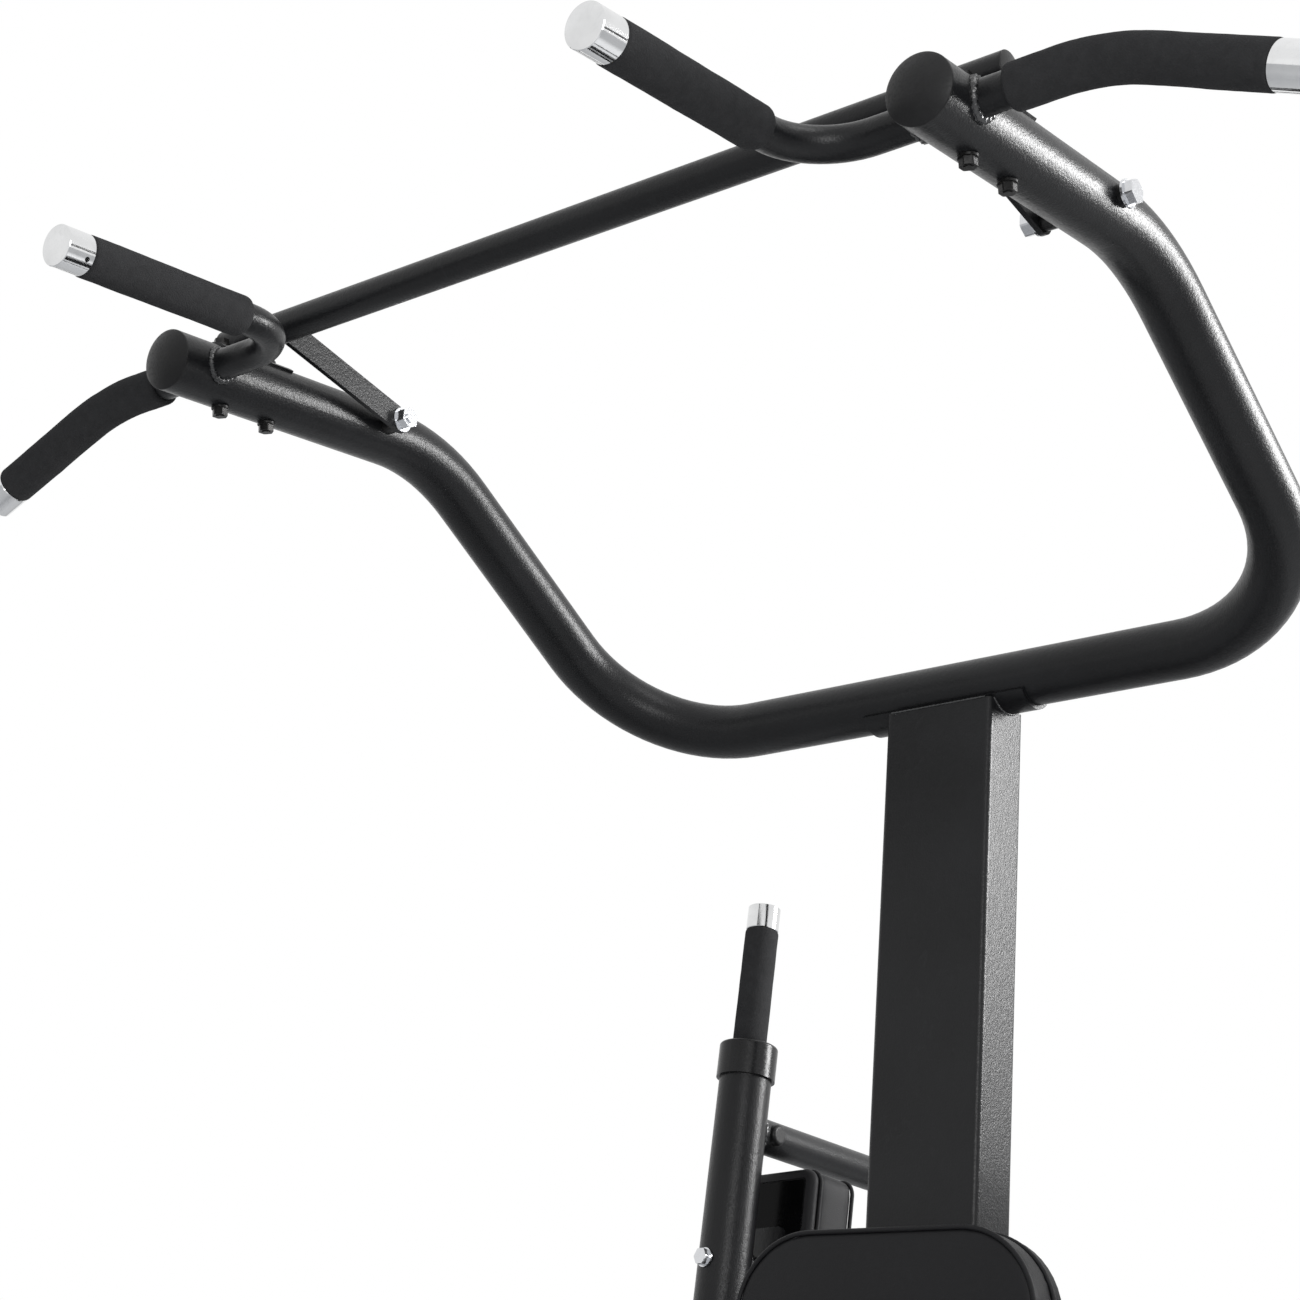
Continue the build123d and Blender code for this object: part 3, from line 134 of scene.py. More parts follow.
class GripSettings(bpy.types.PropertyGroup):
    foam_radius: millimetres("Foam radius", 18.5, "Outer radius of the grip foam")
    bar_radius: millimetres("Bar radius", 14.6, "Radius of the hole for the bar")
    end_round: millimetres("End rounding", 3.2, "Rounding of the foam's ends")
    unevenness: millimetres("Unevenness", 0.5, "How far the foam's surface strays from a true tube")
    inner_rise: degrees("Inner rise", 9.52, "How far the inner grips slope")
    outer_start: millimetres("Outer foam start", 454.0, "Where the outer foam starts, from the middle plane")
    outer_bend: millimetres("Outer bend", 530.0, "Corner of the outer grip's bend, from the middle plane")
    outer_radius: millimetres("Outer bend radius", 190.0, "Radius of the outer grip's bend")
    outer_reach: millimetres("Outer reach", 141.0, "From the bend's corner to the end of the foam")
    outer_drop: degrees("Outer drop", 23.9, "How far the outer grips slope down")
    roller_bore: millimetres("Roller bore", 17.1, "Radius of the hole through a foot roller")
    roller_round: millimetres("Roller rounding", 9.0, "Rounding of a foot roller's ends")
    cap_cut: millimetres("Cap cut", 6.0, "How much shorter the grips' caps are than the solids' caps")
    cap_face: millimetres("Cap face", 10.0, "Depth at a cap's tip that the cut leaves where it is")
    plug_lip: millimetres("Plug lip", 1.6, "Height of the rim of a tube's plug")
    plug_rim: millimetres("Plug rim", 0.7, "Rounding of the rim of a tube's plug")


class WeldSettings(bpy.types.PropertyGroup):
    bead: millimetres("Bead radius", 3.4, "Radius of a weld bead")
    seam: millimetres("Seam radius", 1.0, "Radius of the fine seam across the column's top")
    pitch: millimetres("Ripple pitch", 4.8, "Distance from one ripple of a bead to the next")
    reach: millimetres("Joint gap", 0.35, "Widest gap between two pieces that still counts as a welded joint")
    shortest: millimetres("Shortest bead", 12.0, "Joints shorter than this get no bead")


class StageSettings(bpy.types.PropertyGroup):
    lens: number("Lens", 68.3, "Focal length of the camera", unit="CAMERA")
    floor: colour("Floor", (0.82, 0.82, 0.82), "Colour of the floor")
    key_power: number("Softbox power", 135.0, "Power of the rear softbox", unit="POWER")
    top_power: number("Top power", 18.0, "Power of the overhead softbox", unit="POWER")
    front_power: number("Front power", 38.0, "Power of the front softbox", unit="POWER")
    room_light: number("Room light", 0.40, "Strength of the room's own light")
    room_shade: number("Room shade", 0.94, "How pale the room looks in polished metal above the horizon")


# ------------------------------------------------------------- node groups
def new_group(name, inputs, outputs):
    """Empty shader group with float inputs and outputs."""
    group = bpy.data.node_groups.new(name, "ShaderNodeTree")
    for label, default in inputs:
        socket = group.interface.new_socket(name=label, in_out="INPUT", socket_type="NodeSocketFloat")
        socket.default_value = default
    for label in outputs:
        group.interface.new_socket(name=label, in_out="OUTPUT", socket_type="NodeSocketFloat")
    return group, group.nodes.new("NodeGroupInput"), group.nodes.new("NodeGroupOutput")


def math_node(tree, operation, first, second):
    """Math node; each input is a socket or a number."""
    node = tree.nodes.new("ShaderNodeMath")
    node.operation = operation
    for index, value in enumerate((first, second)):
        if isinstance(value, (int, float)):
            node.inputs[index].default_value = value
        else:
            tree.links.new(value, node.inputs[index])
    return node.outputs[0]


def noise_node(tree, vector, scale, detail, roughness=0.55):
    node = texture_node(tree, "ShaderNodeTexNoise", vector, Detail=detail, Roughness=roughness)
    if isinstance(scale, (int, float)):
        node.inputs["Scale"].default_value = scale
    else:
        tree.links.new(scale, node.inputs["Scale"])
    return node.outputs[0]


def ramp_node(tree, value, low, high):
    """Map Range node from low..high to 0..1, clamped."""
    node = tree.nodes.new("ShaderNodeMapRange")
    node.inputs["From Min"].default_value = low
    node.inputs["From Max"].default_value = high
    tree.links.new(value, node.inputs["Value"])
    return node.outputs[0]


def object_coordinates(tree):
    return tree.nodes.new("ShaderNodeTexCoord").outputs["Object"]


def texture_node(tree, kind, vector, **values):
    """Noise or Voronoi texture on a vector, with its inputs set to numbers."""
    node = tree.nodes.new(kind)
    for label, value in values.items():
        node.inputs[label].default_value = value
    tree.links.new(vector, node.inputs["Vector"])
    return node


def coat_grain_group():
    """Fine orange peel of sprayed or moulded surfaces, with broad cloudy variation."""
    group, inputs, outputs = new_group(
        "coat grain", [("Grain Scale", 700.0), ("Cloud Scale", 9.0)], ["Height", "Cloud", "Speck"]
    )
    where = object_coordinates(group)
    fine = noise_node(group, where, inputs.outputs["Grain Scale"], 2.0)
    coarse = noise_node(group, where, math_node(group, "MULTIPLY", inputs.outputs["Grain Scale"], 0.31), 2.0)
    height = math_node(group, "ADD", fine, math_node(group, "MULTIPLY", coarse, 0.8))
    cloud = ramp_node(group, noise_node(group, where, inputs.outputs["Cloud Scale"], 4.0), 0.36, 0.66)
    group.links.new(height, outputs.inputs["Height"])
    group.links.new(cloud, outputs.inputs["Cloud"])
    group.links.new(ramp_node(group, fine, 0.42, 0.66), outputs.inputs["Speck"])
    return group


def cell_foam_group():
    """Cut cells and soft mottling of a foam skin."""
    group, inputs, outputs = new_group("cell foam", [("Pore Scale", 520.0)], ["Height", "Cloud"])
    where = object_coordinates(group)
    pore_scale = inputs.outputs["Pore Scale"]
    pores = texture_node(group, "ShaderNodeTexVoronoi", where)
    group.links.new(pore_scale, pores.inputs["Scale"])
    soft = noise_node(group, where, math_node(group, "MULTIPLY", pore_scale, 0.5), 3.0, 0.65)
    group.links.new(math_node(group, "ADD", pores.outputs["Distance"], soft), outputs.inputs["Height"])
    mottling = noise_node(group, where, 95.0, 4.0, 0.7)
    group.links.new(ramp_node(group, mottling, 0.35, 0.68), outputs.inputs["Cloud"])
    return group


def hide_grain_group():
    """Pebbled grain of upholstery vinyl, with faint creases."""
    group, inputs, outputs = new_group("hide grain", [("Pebble Scale", 620.0)], ["Height", "Cloud"])
    where = object_coordinates(group)
    warp = texture_node(group, "ShaderNodeTexNoise", where, Scale=160.0)
    mixed = group.nodes.new("ShaderNodeMix")
    mixed.data_type = "VECTOR"
    mixed.inputs["Factor"].default_value = 0.004
    group.links.new(where, mixed.inputs["A"])
    group.links.new(warp.outputs["Color"], mixed.inputs["B"])
    pebbles = texture_node(group, "ShaderNodeTexVoronoi", mixed.outputs["Result"])
    pebbles.feature = "DISTANCE_TO_EDGE"
    group.links.new(inputs.outputs["Pebble Scale"], pebbles.inputs["Scale"])
    domes = ramp_node(group, pebbles.outputs["Distance"], 0.0, 0.28)
    crease = math_node(group, "MULTIPLY", noise_node(group, where, 42.0, 4.0, 0.7), 1.2)
    group.links.new(math_node(group, "ADD", domes, crease), outputs.inputs["Height"])
    group.links.new(ramp_node(group, noise_node(group, where, 7.0, 4.0), 0.35, 0.68), outputs.inputs["Cloud"])
    return group


def handling_wear_group():
    """Rubbed patches and hairline scuffs, as a mask."""
    group, inputs, outputs = new_group("handling wear", [("Patch Scale", 14.0), ("Amount", 0.5)], ["Mask"])
    where = object_coordinates(group)
    patches = ramp_node(group, noise_node(group, where, inputs.outputs["Patch Scale"], 5.0, 0.7), 0.52, 0.75)
    hairs = texture_node(group, "ShaderNodeTexNoise", where, Scale=60.0, Detail=6.0, Distortion=1.4)
    scuffs = ramp_node(group, hairs.outputs[0], 0.60, 0.72)
    worn = math_node(group, "MAXIMUM", patches, scuffs)
    group.links.new(math_node(group, "MULTIPLY", worn, inputs.outputs["Amount"]), outputs.inputs["Mask"])
    return group


# ---------------------------------------------------------------- materials
class Finish:
    """One material being put together: its tree, its shader and short ways to feed them."""

    def __init__(self, name, **constants):
        self.material = bpy.data.materials.new(name)
        self.material.use_nodes = True
        self.tree = self.material.node_tree
        self.tree.nodes.clear()
        output = self.tree.nodes.new("ShaderNodeOutputMaterial")
        self.shader = self.tree.nodes.new("ShaderNodeBsdfPrincipled")
        self.tree.links.new(self.shader.outputs["BSDF"], output.inputs["Surface"])
        for label, value in constants.items():
            self.shader.inputs[label.replace("_", " ")].default_value = value

    def group(self, name, **values):
        """Places a node group with these inputs and gives its outputs."""
        node = self.tree.nodes.new("ShaderNodeGroup")
        node.node_tree = bpy.data.node_groups[name]
        for label, value in values.items():
            node.inputs[label.replace("_", " ")].default_value = value
        return node.outputs

    def blend_colour(self, factor, low, high):
        """Mixes two colours, each given as a colour or a socket."""
        node = self.tree.nodes.new("ShaderNodeMix")
        node.data_type = "RGBA"
        self.tree.links.new(factor, node.inputs["Factor"])
        for socket, value in ((node.inputs[6], low), (node.inputs[7], high)):
            if isinstance(value, (tuple, list)):
                socket.default_value = (*value, 1.0)
            else:
                self.tree.links.new(value, socket)
        return node.outputs[2]

    def colour(self, factor, low, high):
        self.tree.links.new(self.blend_colour(factor, low, high), self.shader.inputs["Base Color"])

    def roughness(self, factor, low, high):
        node = self.tree.nodes.new("ShaderNodeMapRange")
        node.inputs["To Min"].default_value = low
        node.inputs["To Max"].default_value = high
        self.tree.links.new(factor, node.inputs["Value"])
        self.tree.links.new(node.outputs[0], self.shader.inputs["Roughness"])

    def bump(self, height, strength, distance):
        node = self.tree.nodes.new("ShaderNodeBump")
        node.inputs["Strength"].default_value = strength
        node.inputs["Distance"].default_value = distance
        self.tree.links.new(height, node.inputs["Height"])
        self.tree.links.new(node.outputs["Normal"], self.shader.inputs["Normal"])


def lighter(rgb, factor):
    return tuple(min(1.0, channel * factor) for channel in rgb)


def grained(name, grain, clouds, colours, roughness, bump, wear=None, **shader):
    """A finish with the fine grain of sprayed, moulded or plated surfaces.

    Colours and roughness run from a low to a high value, bump is strength and distance, and wear is
    the scale, amount and colour of rubbed patches.
    """
    finish = Finish(name, **shader)
    coat = finish.group("coat grain", Grain_Scale=grain, Cloud_Scale=clouds)
    if wear:
        scale, amount, worn = wear
        rubbed = finish.group("handling wear", Patch_Scale=scale, Amount=amount)
        finish.colour(rubbed["Mask"], finish.blend_colour(coat["Cloud"], *colours), worn)
    else:
        finish.colour(coat["Cloud"], *colours)
    finish.roughness(coat["Speck"], *roughness)
    finish.bump(coat["Height"], *bump)
    return finish.material


def powder_coat(paint):
    colours = lighter(paint, 0.85), lighter(paint, 1.25)
    wear = 11.0, 0.35, lighter(paint, 2.0)
    roughness, bump = (0.29, 0.40), (0.62, 0.0004)
    return grained("powder coat", 560.0, 8.0, colours, roughness, bump, wear, Specular_IOR_Level=0.26)


def welded_coat(paint):
    colours = lighter(paint, 0.9), lighter(paint, 2.2)
    roughness, bump = (0.14, 0.36), (0.7, 0.0008)
    return grained("coat over welds", 340.0, 60.0, colours, roughness, bump, Specular_IOR_Level=0.80)


def plated(name, rgb, roughness, grain):
    """Chrome or zinc: fine polishing variation under a metal."""
    colours = lighter(rgb, 0.93), lighter(rgb, 1.04)
    wear = 40.0, 0.5, lighter(rgb, 0.86)
    return grained(name, grain, 35.0, colours, roughness, (0.08, 0.0001), wear, Metallic=1.0)


def black_oxide():
    colours = (0.016, 0.016, 0.017), (0.040, 0.039, 0.038)
    return grained("black oxide", 1100.0, 80.0, colours, (0.28, 0.42), (0.12, 0.0002), Metallic=0.7)


def moulded(name, rgb, roughness, grain, strength):
    """Moulded plastic or rubber."""
    colours = lighter(rgb, 0.85), lighter(rgb, 1.25)
    wear = 30.0, 0.4, lighter(rgb, 2.2)
    return grained(name, grain, 22.0, colours, roughness, (strength, 0.0003), wear, Specular_IOR_Level=0.26)


def shade_darkened_shell():
    """Glossy black shell that carries an elbow pad. Its colour is darker than the other black plastic, and
    its reflection is weaker. This is painted shade for the shadowed recess behind the lever's posts.
    """
    colours = (0.0022, 0.0022, 0.0024), (0.0040, 0.0040, 0.0043)
    return grained("pad shell", 420.0, 18.0, colours, (0.12, 0.22), (0.05, 0.0003), Specular_IOR_Level=0.07)


def bush_bronze():
    colours = (0.36, 0.22, 0.10), (0.52, 0.35, 0.17)
    return grained("bush bronze", 1300.0, 40.0, colours, (0.30, 0.48), (0.15, 0.0001), Metallic=1.0)


def grip_foam(rgb):
    finish = Finish("cellular foam", Specular_IOR_Level=0.15)
    cells = finish.group("cell foam", Pore_Scale=640.0)
    finish.colour(cells["Cloud"], lighter(rgb, 0.9), lighter(rgb, 1.14))
    finish.roughness(cells["Height"], 0.80, 0.98)
    finish.bump(cells["Height"], 0.55, 0.0006)
    return finish.material


def pad_vinyl(rgb):
    finish = Finish("upholstery vinyl", Specular_IOR_Level=0.20)
    hide = finish.group("hide grain", Pebble_Scale=640.0)
    wear = finish.group("handling wear", Patch_Scale=9.0, Amount=0.3)
    base = finish.blend_colour(hide["Cloud"], lighter(rgb, 0.88), lighter(rgb, 1.22))
    finish.colour(wear["Mask"], base, lighter(rgb, 1.6))
    finish.roughness(hide["Cloud"], 0.46, 0.58)
    finish.bump(hide["Height"], 0.30, 0.00035)
    return finish.material


def board_plywood():
    finish = Finish("board plywood", Specular_IOR_Level=0.35)
    where = object_coordinates(finish.tree)
    stretch = finish.tree.nodes.new("ShaderNodeMapping")
    stretch.inputs["Scale"].default_value = (9.0, 9.0, 1.0)
    finish.tree.links.new(where, stretch.inputs["Vector"])
    fibre = noise_node(finish.tree, stretch.outputs[0], 14.0, 6.0, 0.6)
    finish.colour(ramp_node(finish.tree, fibre, 0.35, 0.65), (0.30, 0.19, 0.10), (0.50, 0.36, 0.21))
    finish.roughness(fibre, 0.55, 0.75)
    finish.bump(fibre, 0.25, 0.0004)
    return finish.material


def make_finishes(settings):
    """One material for each slot of the record, one for the welds and one for the elbow pads' shells, whose
    colour is darkened as painted shade.
    """
    coat_grain_group()
    cell_foam_group()
    hide_grain_group()
    handling_wear_group()
    return {
        "frame_paint": powder_coat(settings.paint),
        "weld_bead": welded_coat(settings.paint),
        "shade_darkened_shell": shade_darkened_shell(),
        "chrome": plated("bright chrome", settings.chrome, (0.06, 0.13), 1500.0),
        "zinc": plated("bright zinc", settings.zinc, (0.11, 0.22), 1200.0),
        "black_steel": black_oxide(),
        "foam": grip_foam(settings.foam),
        "vinyl": pad_vinyl(settings.vinyl),
        "black_plastic": moulded("satin plastic", settings.plastic, (0.40, 0.55), 520.0, 0.18),
        "gloss_plastic": moulded("gloss plastic", settings.plastic, (0.20, 0.31), 260.0, 0.10),
        "rubber": moulded("moulded rubber", settings.plastic, (0.62, 0.82), 480.0, 0.35),
        "plywood": board_plywood(),
        "bearing_bronze": bush_bronze(),
    }


FINISHES = {}


# ------------------------------------------------------------------ helpers
def deselect_all():
    if bpy.context.object and bpy.context.object.mode != "OBJECT":
        bpy.ops.object.mode_set(mode="OBJECT")
    for obj in bpy.context.view_layer.objects:
        obj.select_set(False)


def take_hold(obj):
    """Makes obj the one selected and active object."""
    deselect_all()
    obj.select_set(True)
    bpy.context.view_layer.objects.active = obj
    return obj


def node_box(node):
    """Low and high corner of a CAD node."""
    low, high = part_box(node)
    return Vector(low), Vector(high)


def settle(obj):
    """Puts the object's place, turn and size into its mesh."""
    take_hold(obj)
    bpy.ops.object.transform_apply(location=True, rotation=True, scale=True)
    return obj


def pick(obj, wanted, mode):
    """In edit mode, selects only the vertices, edges or faces that 'wanted' accepts."""
    bpy.ops.mesh.select_mode(type=mode)
    bpy.ops.mesh.select_all(action="DESELECT")
    mesh = bmesh.from_edit_mesh(obj.data)
    pool = {"VERT": mesh.verts, "EDGE": mesh.edges, "FACE": mesh.faces}[mode]
    for element in pool:
        element.select_set(bool(wanted(element)))
    mesh.select_flush_mode()
    bmesh.update_edit_mesh(obj.data)


def dress(obj, name, body, slot, *replaced, finish=None):
    """Names a finished piece, gives it its material and fixes it to its body."""
    obj.name = name
    obj.data.name = name
    obj.data.materials.clear()
    obj.data.materials.append(FINISHES[finish or slot])
    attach(obj, body)
    if replaced:
        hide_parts(*replaced)
    return obj


def mirrored(obj, name):
    """Copy of a right-hand piece for the left side, with its own mesh."""
    twin = obj.copy()
    twin.data = obj.data.copy()
    bpy.context.collection.objects.link(twin)
    twin.data.transform(LEFT_FROM_RIGHT)
    twin.data.flip_normals()
    twin.name = name
    return twin


def point_outwards(obj):
    """Turns all faces of a closed mesh outwards."""
    take_hold(obj)
    bpy.ops.object.mode_set(mode="EDIT")
    bpy.ops.mesh.select_all(action="SELECT")
    bpy.ops.mesh.normals_make_consistent(inside=False)
    bpy.ops.object.mode_set(mode="OBJECT")


def smooth_below(angle):
    """Shades the held piece smooth, apart from edges sharper than this many degrees."""
    bpy.ops.object.shade_smooth_by_angle(angle=math.radians(angle))


def apply_modifier(obj, kind, **values):
    """Adds a modifier with these values and applies it."""
    take_hold(obj)
    modifier = obj.modifiers.new(kind.lower(), kind)
    for label, value in values.items():
        setattr(modifier, label, value)
    bpy.ops.object.modifier_apply(modifier=modifier.name)


def merge_into(first, others):
    """Joins other pieces of the same make into the first."""
    if others:
        deselect_all()
        for obj in others:
            obj.select_set(True)
        first.select_set(True)
        bpy.context.view_layer.objects.active = first
        bpy.ops.object.join()
    return first


# --------------------------------------------------------------------- pads
CLOTH_STEPS = 20


def rounded_block(low, high, axis, corner, rim):
    """Block with rounded corners about 'axis', and a small rim on its front and back."""
    size = high - low
    bpy.ops.mesh.primitive_cube_add(size=1.0, location=(low + high) / 2)
    obj = bpy.context.object
    obj.scale = size
    settle(obj)
    bpy.ops.object.mode_set(mode="EDIT")
    pick(obj, lambda e: abs((e.verts[0].co - e.verts[1].co)[axis]) > 0.5 * size[axis], "EDGE")
    bpy.ops.mesh.bevel(offset=corner, offset_type="OFFSET", segments=12, affect="EDGES")
    for level in (low[axis], high[axis]):
        pick(obj, lambda e: all(abs(v.co[axis] - level) < TOUCH for v in e.verts), "EDGE")
        bpy.ops.mesh.bevel(offset=rim, offset_type="OFFSET", segments=4, affect="EDGES")
    bpy.ops.object.mode_set(mode="OBJECT")
    return obj


def outline_distance(point, low, high, axis, corner):
    """How far a point lies outside the rounded outline seen along 'axis' (negative inside)."""
    reach = []
    for k in (k for k in range(3) if k != axis):
        half = (high[k] - low[k]) / 2 - corner
        reach.append(abs(point[k] - (high[k] + low[k]) / 2) - half)
    outside = math.hypot(max(reach[0], 0.0), max(reach[1], 0.0))
    return outside + min(max(reach), 0.0) - corner


def inflate(obj, held):
    """Blows a pad up as cloth with its seams held, and gives the places its vertices reach."""
    seam = obj.vertex_groups.new(name="seam")
    seam.add([v.index for v in obj.data.vertices if held(v.co)], 1.0, "REPLACE")
    modifier = obj.modifiers.new("stuffing", "CLOTH")
    cloth = modifier.settings
    cloth.quality = 4
    cloth.use_pressure = True
    cloth.uniform_pressure_force = 4.0
    cloth.vertex_group_mass = "seam"
    cloth.effector_weights.gravity = 0.0
    modifier.collision_settings.use_collision = False
    modifier.point_cache.frame_start = 1
    modifier.point_cache.frame_end = CLOTH_STEPS
    for step in range(1, CLOTH_STEPS + 1):
        bpy.context.scene.frame_set(step)
    shape = obj.evaluated_get(bpy.context.evaluated_depsgraph_get())
    moved = [vertex.co.copy() for vertex in shape.data.vertices]
    obj.modifiers.remove(modifier)
    obj.vertex_groups.clear()
    bpy.context.scene.frame_set(1)
    return moved


def stuff(obj, settings, held, axis):
    """Stuffs a pad: its side panels rise up to the swell, and its front panel up to the crown."""
    apply_modifier(obj, "REMESH", mode="VOXEL", voxel_size=settings.voxel, use_smooth_shade=True)
    apply_modifier(obj, "SMOOTH", factor=0.5, iterations=3)
    moved = inflate(obj, held)
    for vertex, end in zip(obj.data.vertices, moved):
        shift = end - vertex.co
        length = shift.length
        if length > 1e-7:
            upward = abs(shift[axis]) / length
            cap = settings.swell + (settings.crown - settings.swell) * upward
            vertex.co += shift * (cap * math.tanh(length / cap) / length)
    apply_modifier(obj, "SMOOTH", factor=0.5, iterations=2)
    apply_modifier(obj, "SUBSURF", levels=1, render_levels=1)
    bpy.ops.object.shade_smooth()


def piping(low, high, axis, level, corner, radius):
    """Piping cord laid round the rounded outline at 'level' along 'axis'."""
    middle = (low + high) / 2
    middle[axis] = level
    turn = {0: (0.0, math.pi / 2, 0.0), 1: (math.pi / 2, 0.0, 0.0), 2: (0.0, 0.0, 0.0)}[axis]
    bpy.ops.mesh.primitive_plane_add(size=1.0, location=middle, rotation=turn)
    obj = bpy.context.object
    size = high - low
    wide, tall = {0: (size.z, size.y), 1: (size.x, size.z), 2: (size.x, size.y)}[axis]
    obj.scale = (wide, tall, 1.0)
    settle(obj)
    bpy.ops.object.mode_set(mode="EDIT")
    bpy.ops.mesh.select_all(action="SELECT")
    bpy.ops.mesh.bevel(offset=corner, offset_type="OFFSET", segments=16, affect="VERTICES")
    bpy.ops.mesh.select_all(action="SELECT")
    bpy.ops.mesh.delete(type="ONLY_FACE")
    bpy.ops.object.mode_set(mode="OBJECT")
    bpy.ops.object.convert(target="CURVE")
    obj.data.bevel_depth = radius
    obj.data.bevel_resolution = 3
    take_hold(obj)
    bpy.ops.object.convert(target="MESH")
    bpy.ops.object.shade_smooth()
    return bpy.context.object


def board_wrap(low, high, axis, back, inner, corner, fold, roll):
    """Band of vinyl folded round the edge of the board at the back of a pad."""
    first = low.copy()
    last = high.copy()
    first[axis] = min(back, inner)
    last[axis] = max(back, inner)
    obj = rounded_block(first, last, axis, corner, roll)
    bpy.ops.object.mode_set(mode="EDIT")
    for level in (first[axis], last[axis]):
        pick(obj, lambda f: all(abs(v.co[axis] - level) < TOUCH for v in f.verts), "FACE")
        bpy.ops.mesh.inset(thickness=fold - roll, use_even_offset=True)
        bpy.ops.mesh.delete(type="FACE")
    pick(obj, lambda e: e.is_boundary, "EDGE")
    bpy.ops.mesh.bridge_edge_loops()
    point_outwards(obj)
    smooth_below(40)
    return obj


def upholster(low, high, axis, front_side, corner, settings, fold, roll):
    """A pad with a crowned front panel, a boxed side panel, piping, and vinyl folded round its board."""
    front = low[axis] if front_side < 0 else high[axis]
    back = high[axis] if front_side < 0 else low[axis]
    front -= front_side * settings.shrink
    inner = back + front_side * settings.board
    shrink = Vector((settings.shrink,) * 3)
    low, high = low + shrink, high - shrink
    low[axis], high[axis] = min(front, inner), max(front, inner)
    corner -= settings.shrink

    def held(point):
        near_front = abs(point[axis] - front) < settings.rim + 1 * MM
        near_back = abs(point[axis] - inner) < settings.rim
        edge = outline_distance(point, low, high, axis, corner)
        return near_back or near_front and abs(edge) < settings.rim + 0.5 * MM

    pad = rounded_block(low, high, axis, corner, settings.rim)
    stuff(pad, settings, held, axis)
    sunk = Vector((settings.seam_sink,) * 3)
    seams = (front - front_side * settings.front_seam, inner + front_side * settings.rear_seam)
    parts = [piping(low + sunk, high - sunk, axis, level, corner, settings.piping) for level in seams]
    parts.append(board_wrap(low, high, axis, back, inner, corner, fold, roll))
    return merge_into(pad, parts)


def covered(pad, name, body, node):
    """Names a finished pad, gives it the vinyl and fixes it to its body in place of the solid it stands for.
    """
    dress(pad, name, body, "vinyl", node)


def turned_box(node, turn):
    """Corners of a node's +X solid in axes turned by 'turn'."""
    points = [turn.inverted() @ v.co for v in frame["nodes"][node].data.vertices if v.co.x > 0]
    low = Vector(min(p[k] for p in points) for k in range(3))
    high = Vector(max(p[k] for p in points) for k in range(3))
    return low, high


class CRUNCH_OT_back_pad(bpy.types.Operator):
    """Makes the back pad with its piping, and the plywood panel behind it"""

    bl_idname = "crunch.back_pad"
    bl_label = "Back pad"

    def execute(self, context):
        settings = context.scene.crunch_pads
        low, high = node_box("back_pad")
        pad = upholster(low, high, 1, -1, settings.back_corner, settings, settings.fold, settings.fold_roll)
        covered(pad, "back_pad_cover", "frame", "back_pad")
        board_low, board_high = node_box("back_pad_board")
        corner = settings.back_corner - (board_low.x - low.x)
        board = rounded_block(board_low, board_high, 1, corner, settings.panel_rim)
        smooth_below(40)
        dress(board, "back_pad_panel", "frame", "plywood", "back_pad_board")
        return {"FINISHED"}


class CRUNCH_OT_seat_pad(bpy.types.Operator):
    """Makes the seat pad in the same way as the back pad"""

    bl_idname = "crunch.seat_pad"
    bl_label = "Seat pad"

    def execute(self, context):
        settings = context.scene.crunch_pads
        box = node_box("seat_pad")
        pad = upholster(*box, 2, 1, settings.seat_corner, settings, settings.fold, settings.fold_roll)
        covered(pad, "seat_pad_cover", "seat", "seat_pad")
        return {"FINISHED"}


class CRUNCH_OT_elbow_pads(bpy.types.Operator):
    """Makes the two elbow pads behind the lever's posts, upright first and then leaned and toed in"""

    bl_idname = "crunch.elbow_pads"
    bl_label = "Elbow pads"

    def execute(self, context):
        settings = context.scene.crunch_pads
        turn = Matrix.Rotation(-settings.recline, 3, "X") @ Matrix.Rotation(settings.elbow_toe, 3, "Z")
        box = turned_box("arm_pads", turn)
        pad = upholster(*box, 1, 1, settings.elbow_corner, settings, settings.elbow_fold, settings.elbow_roll)
        pad.data.transform(turn.to_4x4())
        left = mirrored(pad, "left_elbow_pad")
        covered(pad, "right_elbow_pad", "lever", "arm_pads")
        covered(left, "left_elbow_pad", "lever", "arm_pads")
        return {"FINISHED"}


# -------------------------------------------------------------- foam sleeves
FOAM_WAVES = 38.0  # waves of the foam's surface in a metre


def disc(centre, direction, radius, points):
    """Round face across a direction, held in edit mode with the face selected."""
    turn = direction.to_track_quat("Z", "Y").to_euler()
    bpy.ops.mesh.primitive_circle_add(
        vertices=points, radius=radius, fill_type="NGON", location=centre, rotation=turn
    )
    obj = settle(bpy.context.object)
    bpy.ops.object.mode_set(mode="EDIT")
    bpy.ops.mesh.select_mode(type="FACE")
    bpy.ops.mesh.select_all(action="SELECT")
    return obj


def sleeve_ring(centre, direction, outer, bore):
    """Flat ring of faces, the start of a foam sleeve."""
    obj = disc(centre, direction, outer, 48)
    bpy.ops.mesh.inset(thickness=outer - bore)
    bpy.ops.mesh.delete(type="FACE")
    bpy.ops.mesh.select_all(action="SELECT")
    return obj


def run_on(vector, steps=1):
    """Extrudes the selected faces along a vector, in equal steps."""
    for _ in range(steps):
        bpy.ops.mesh.extrude_region_move(TRANSFORM_OT_translate={"value": vector / steps})


def round_rim(obj, end, normal, outer, rounding):
    """Rounds the outer edge of a sleeve's end."""

    def on_rim(vertex):
        away = vertex.co - end
        return abs(away.dot(normal)) < TOUCH and abs(away.length - outer) < 10 * TOUCH

    pick(obj, lambda e: all(on_rim(v) for v in e.verts), "EDGE")
    bpy.ops.mesh.bevel(offset=rounding, offset_type="OFFSET", segments=4, affect="EDGES")


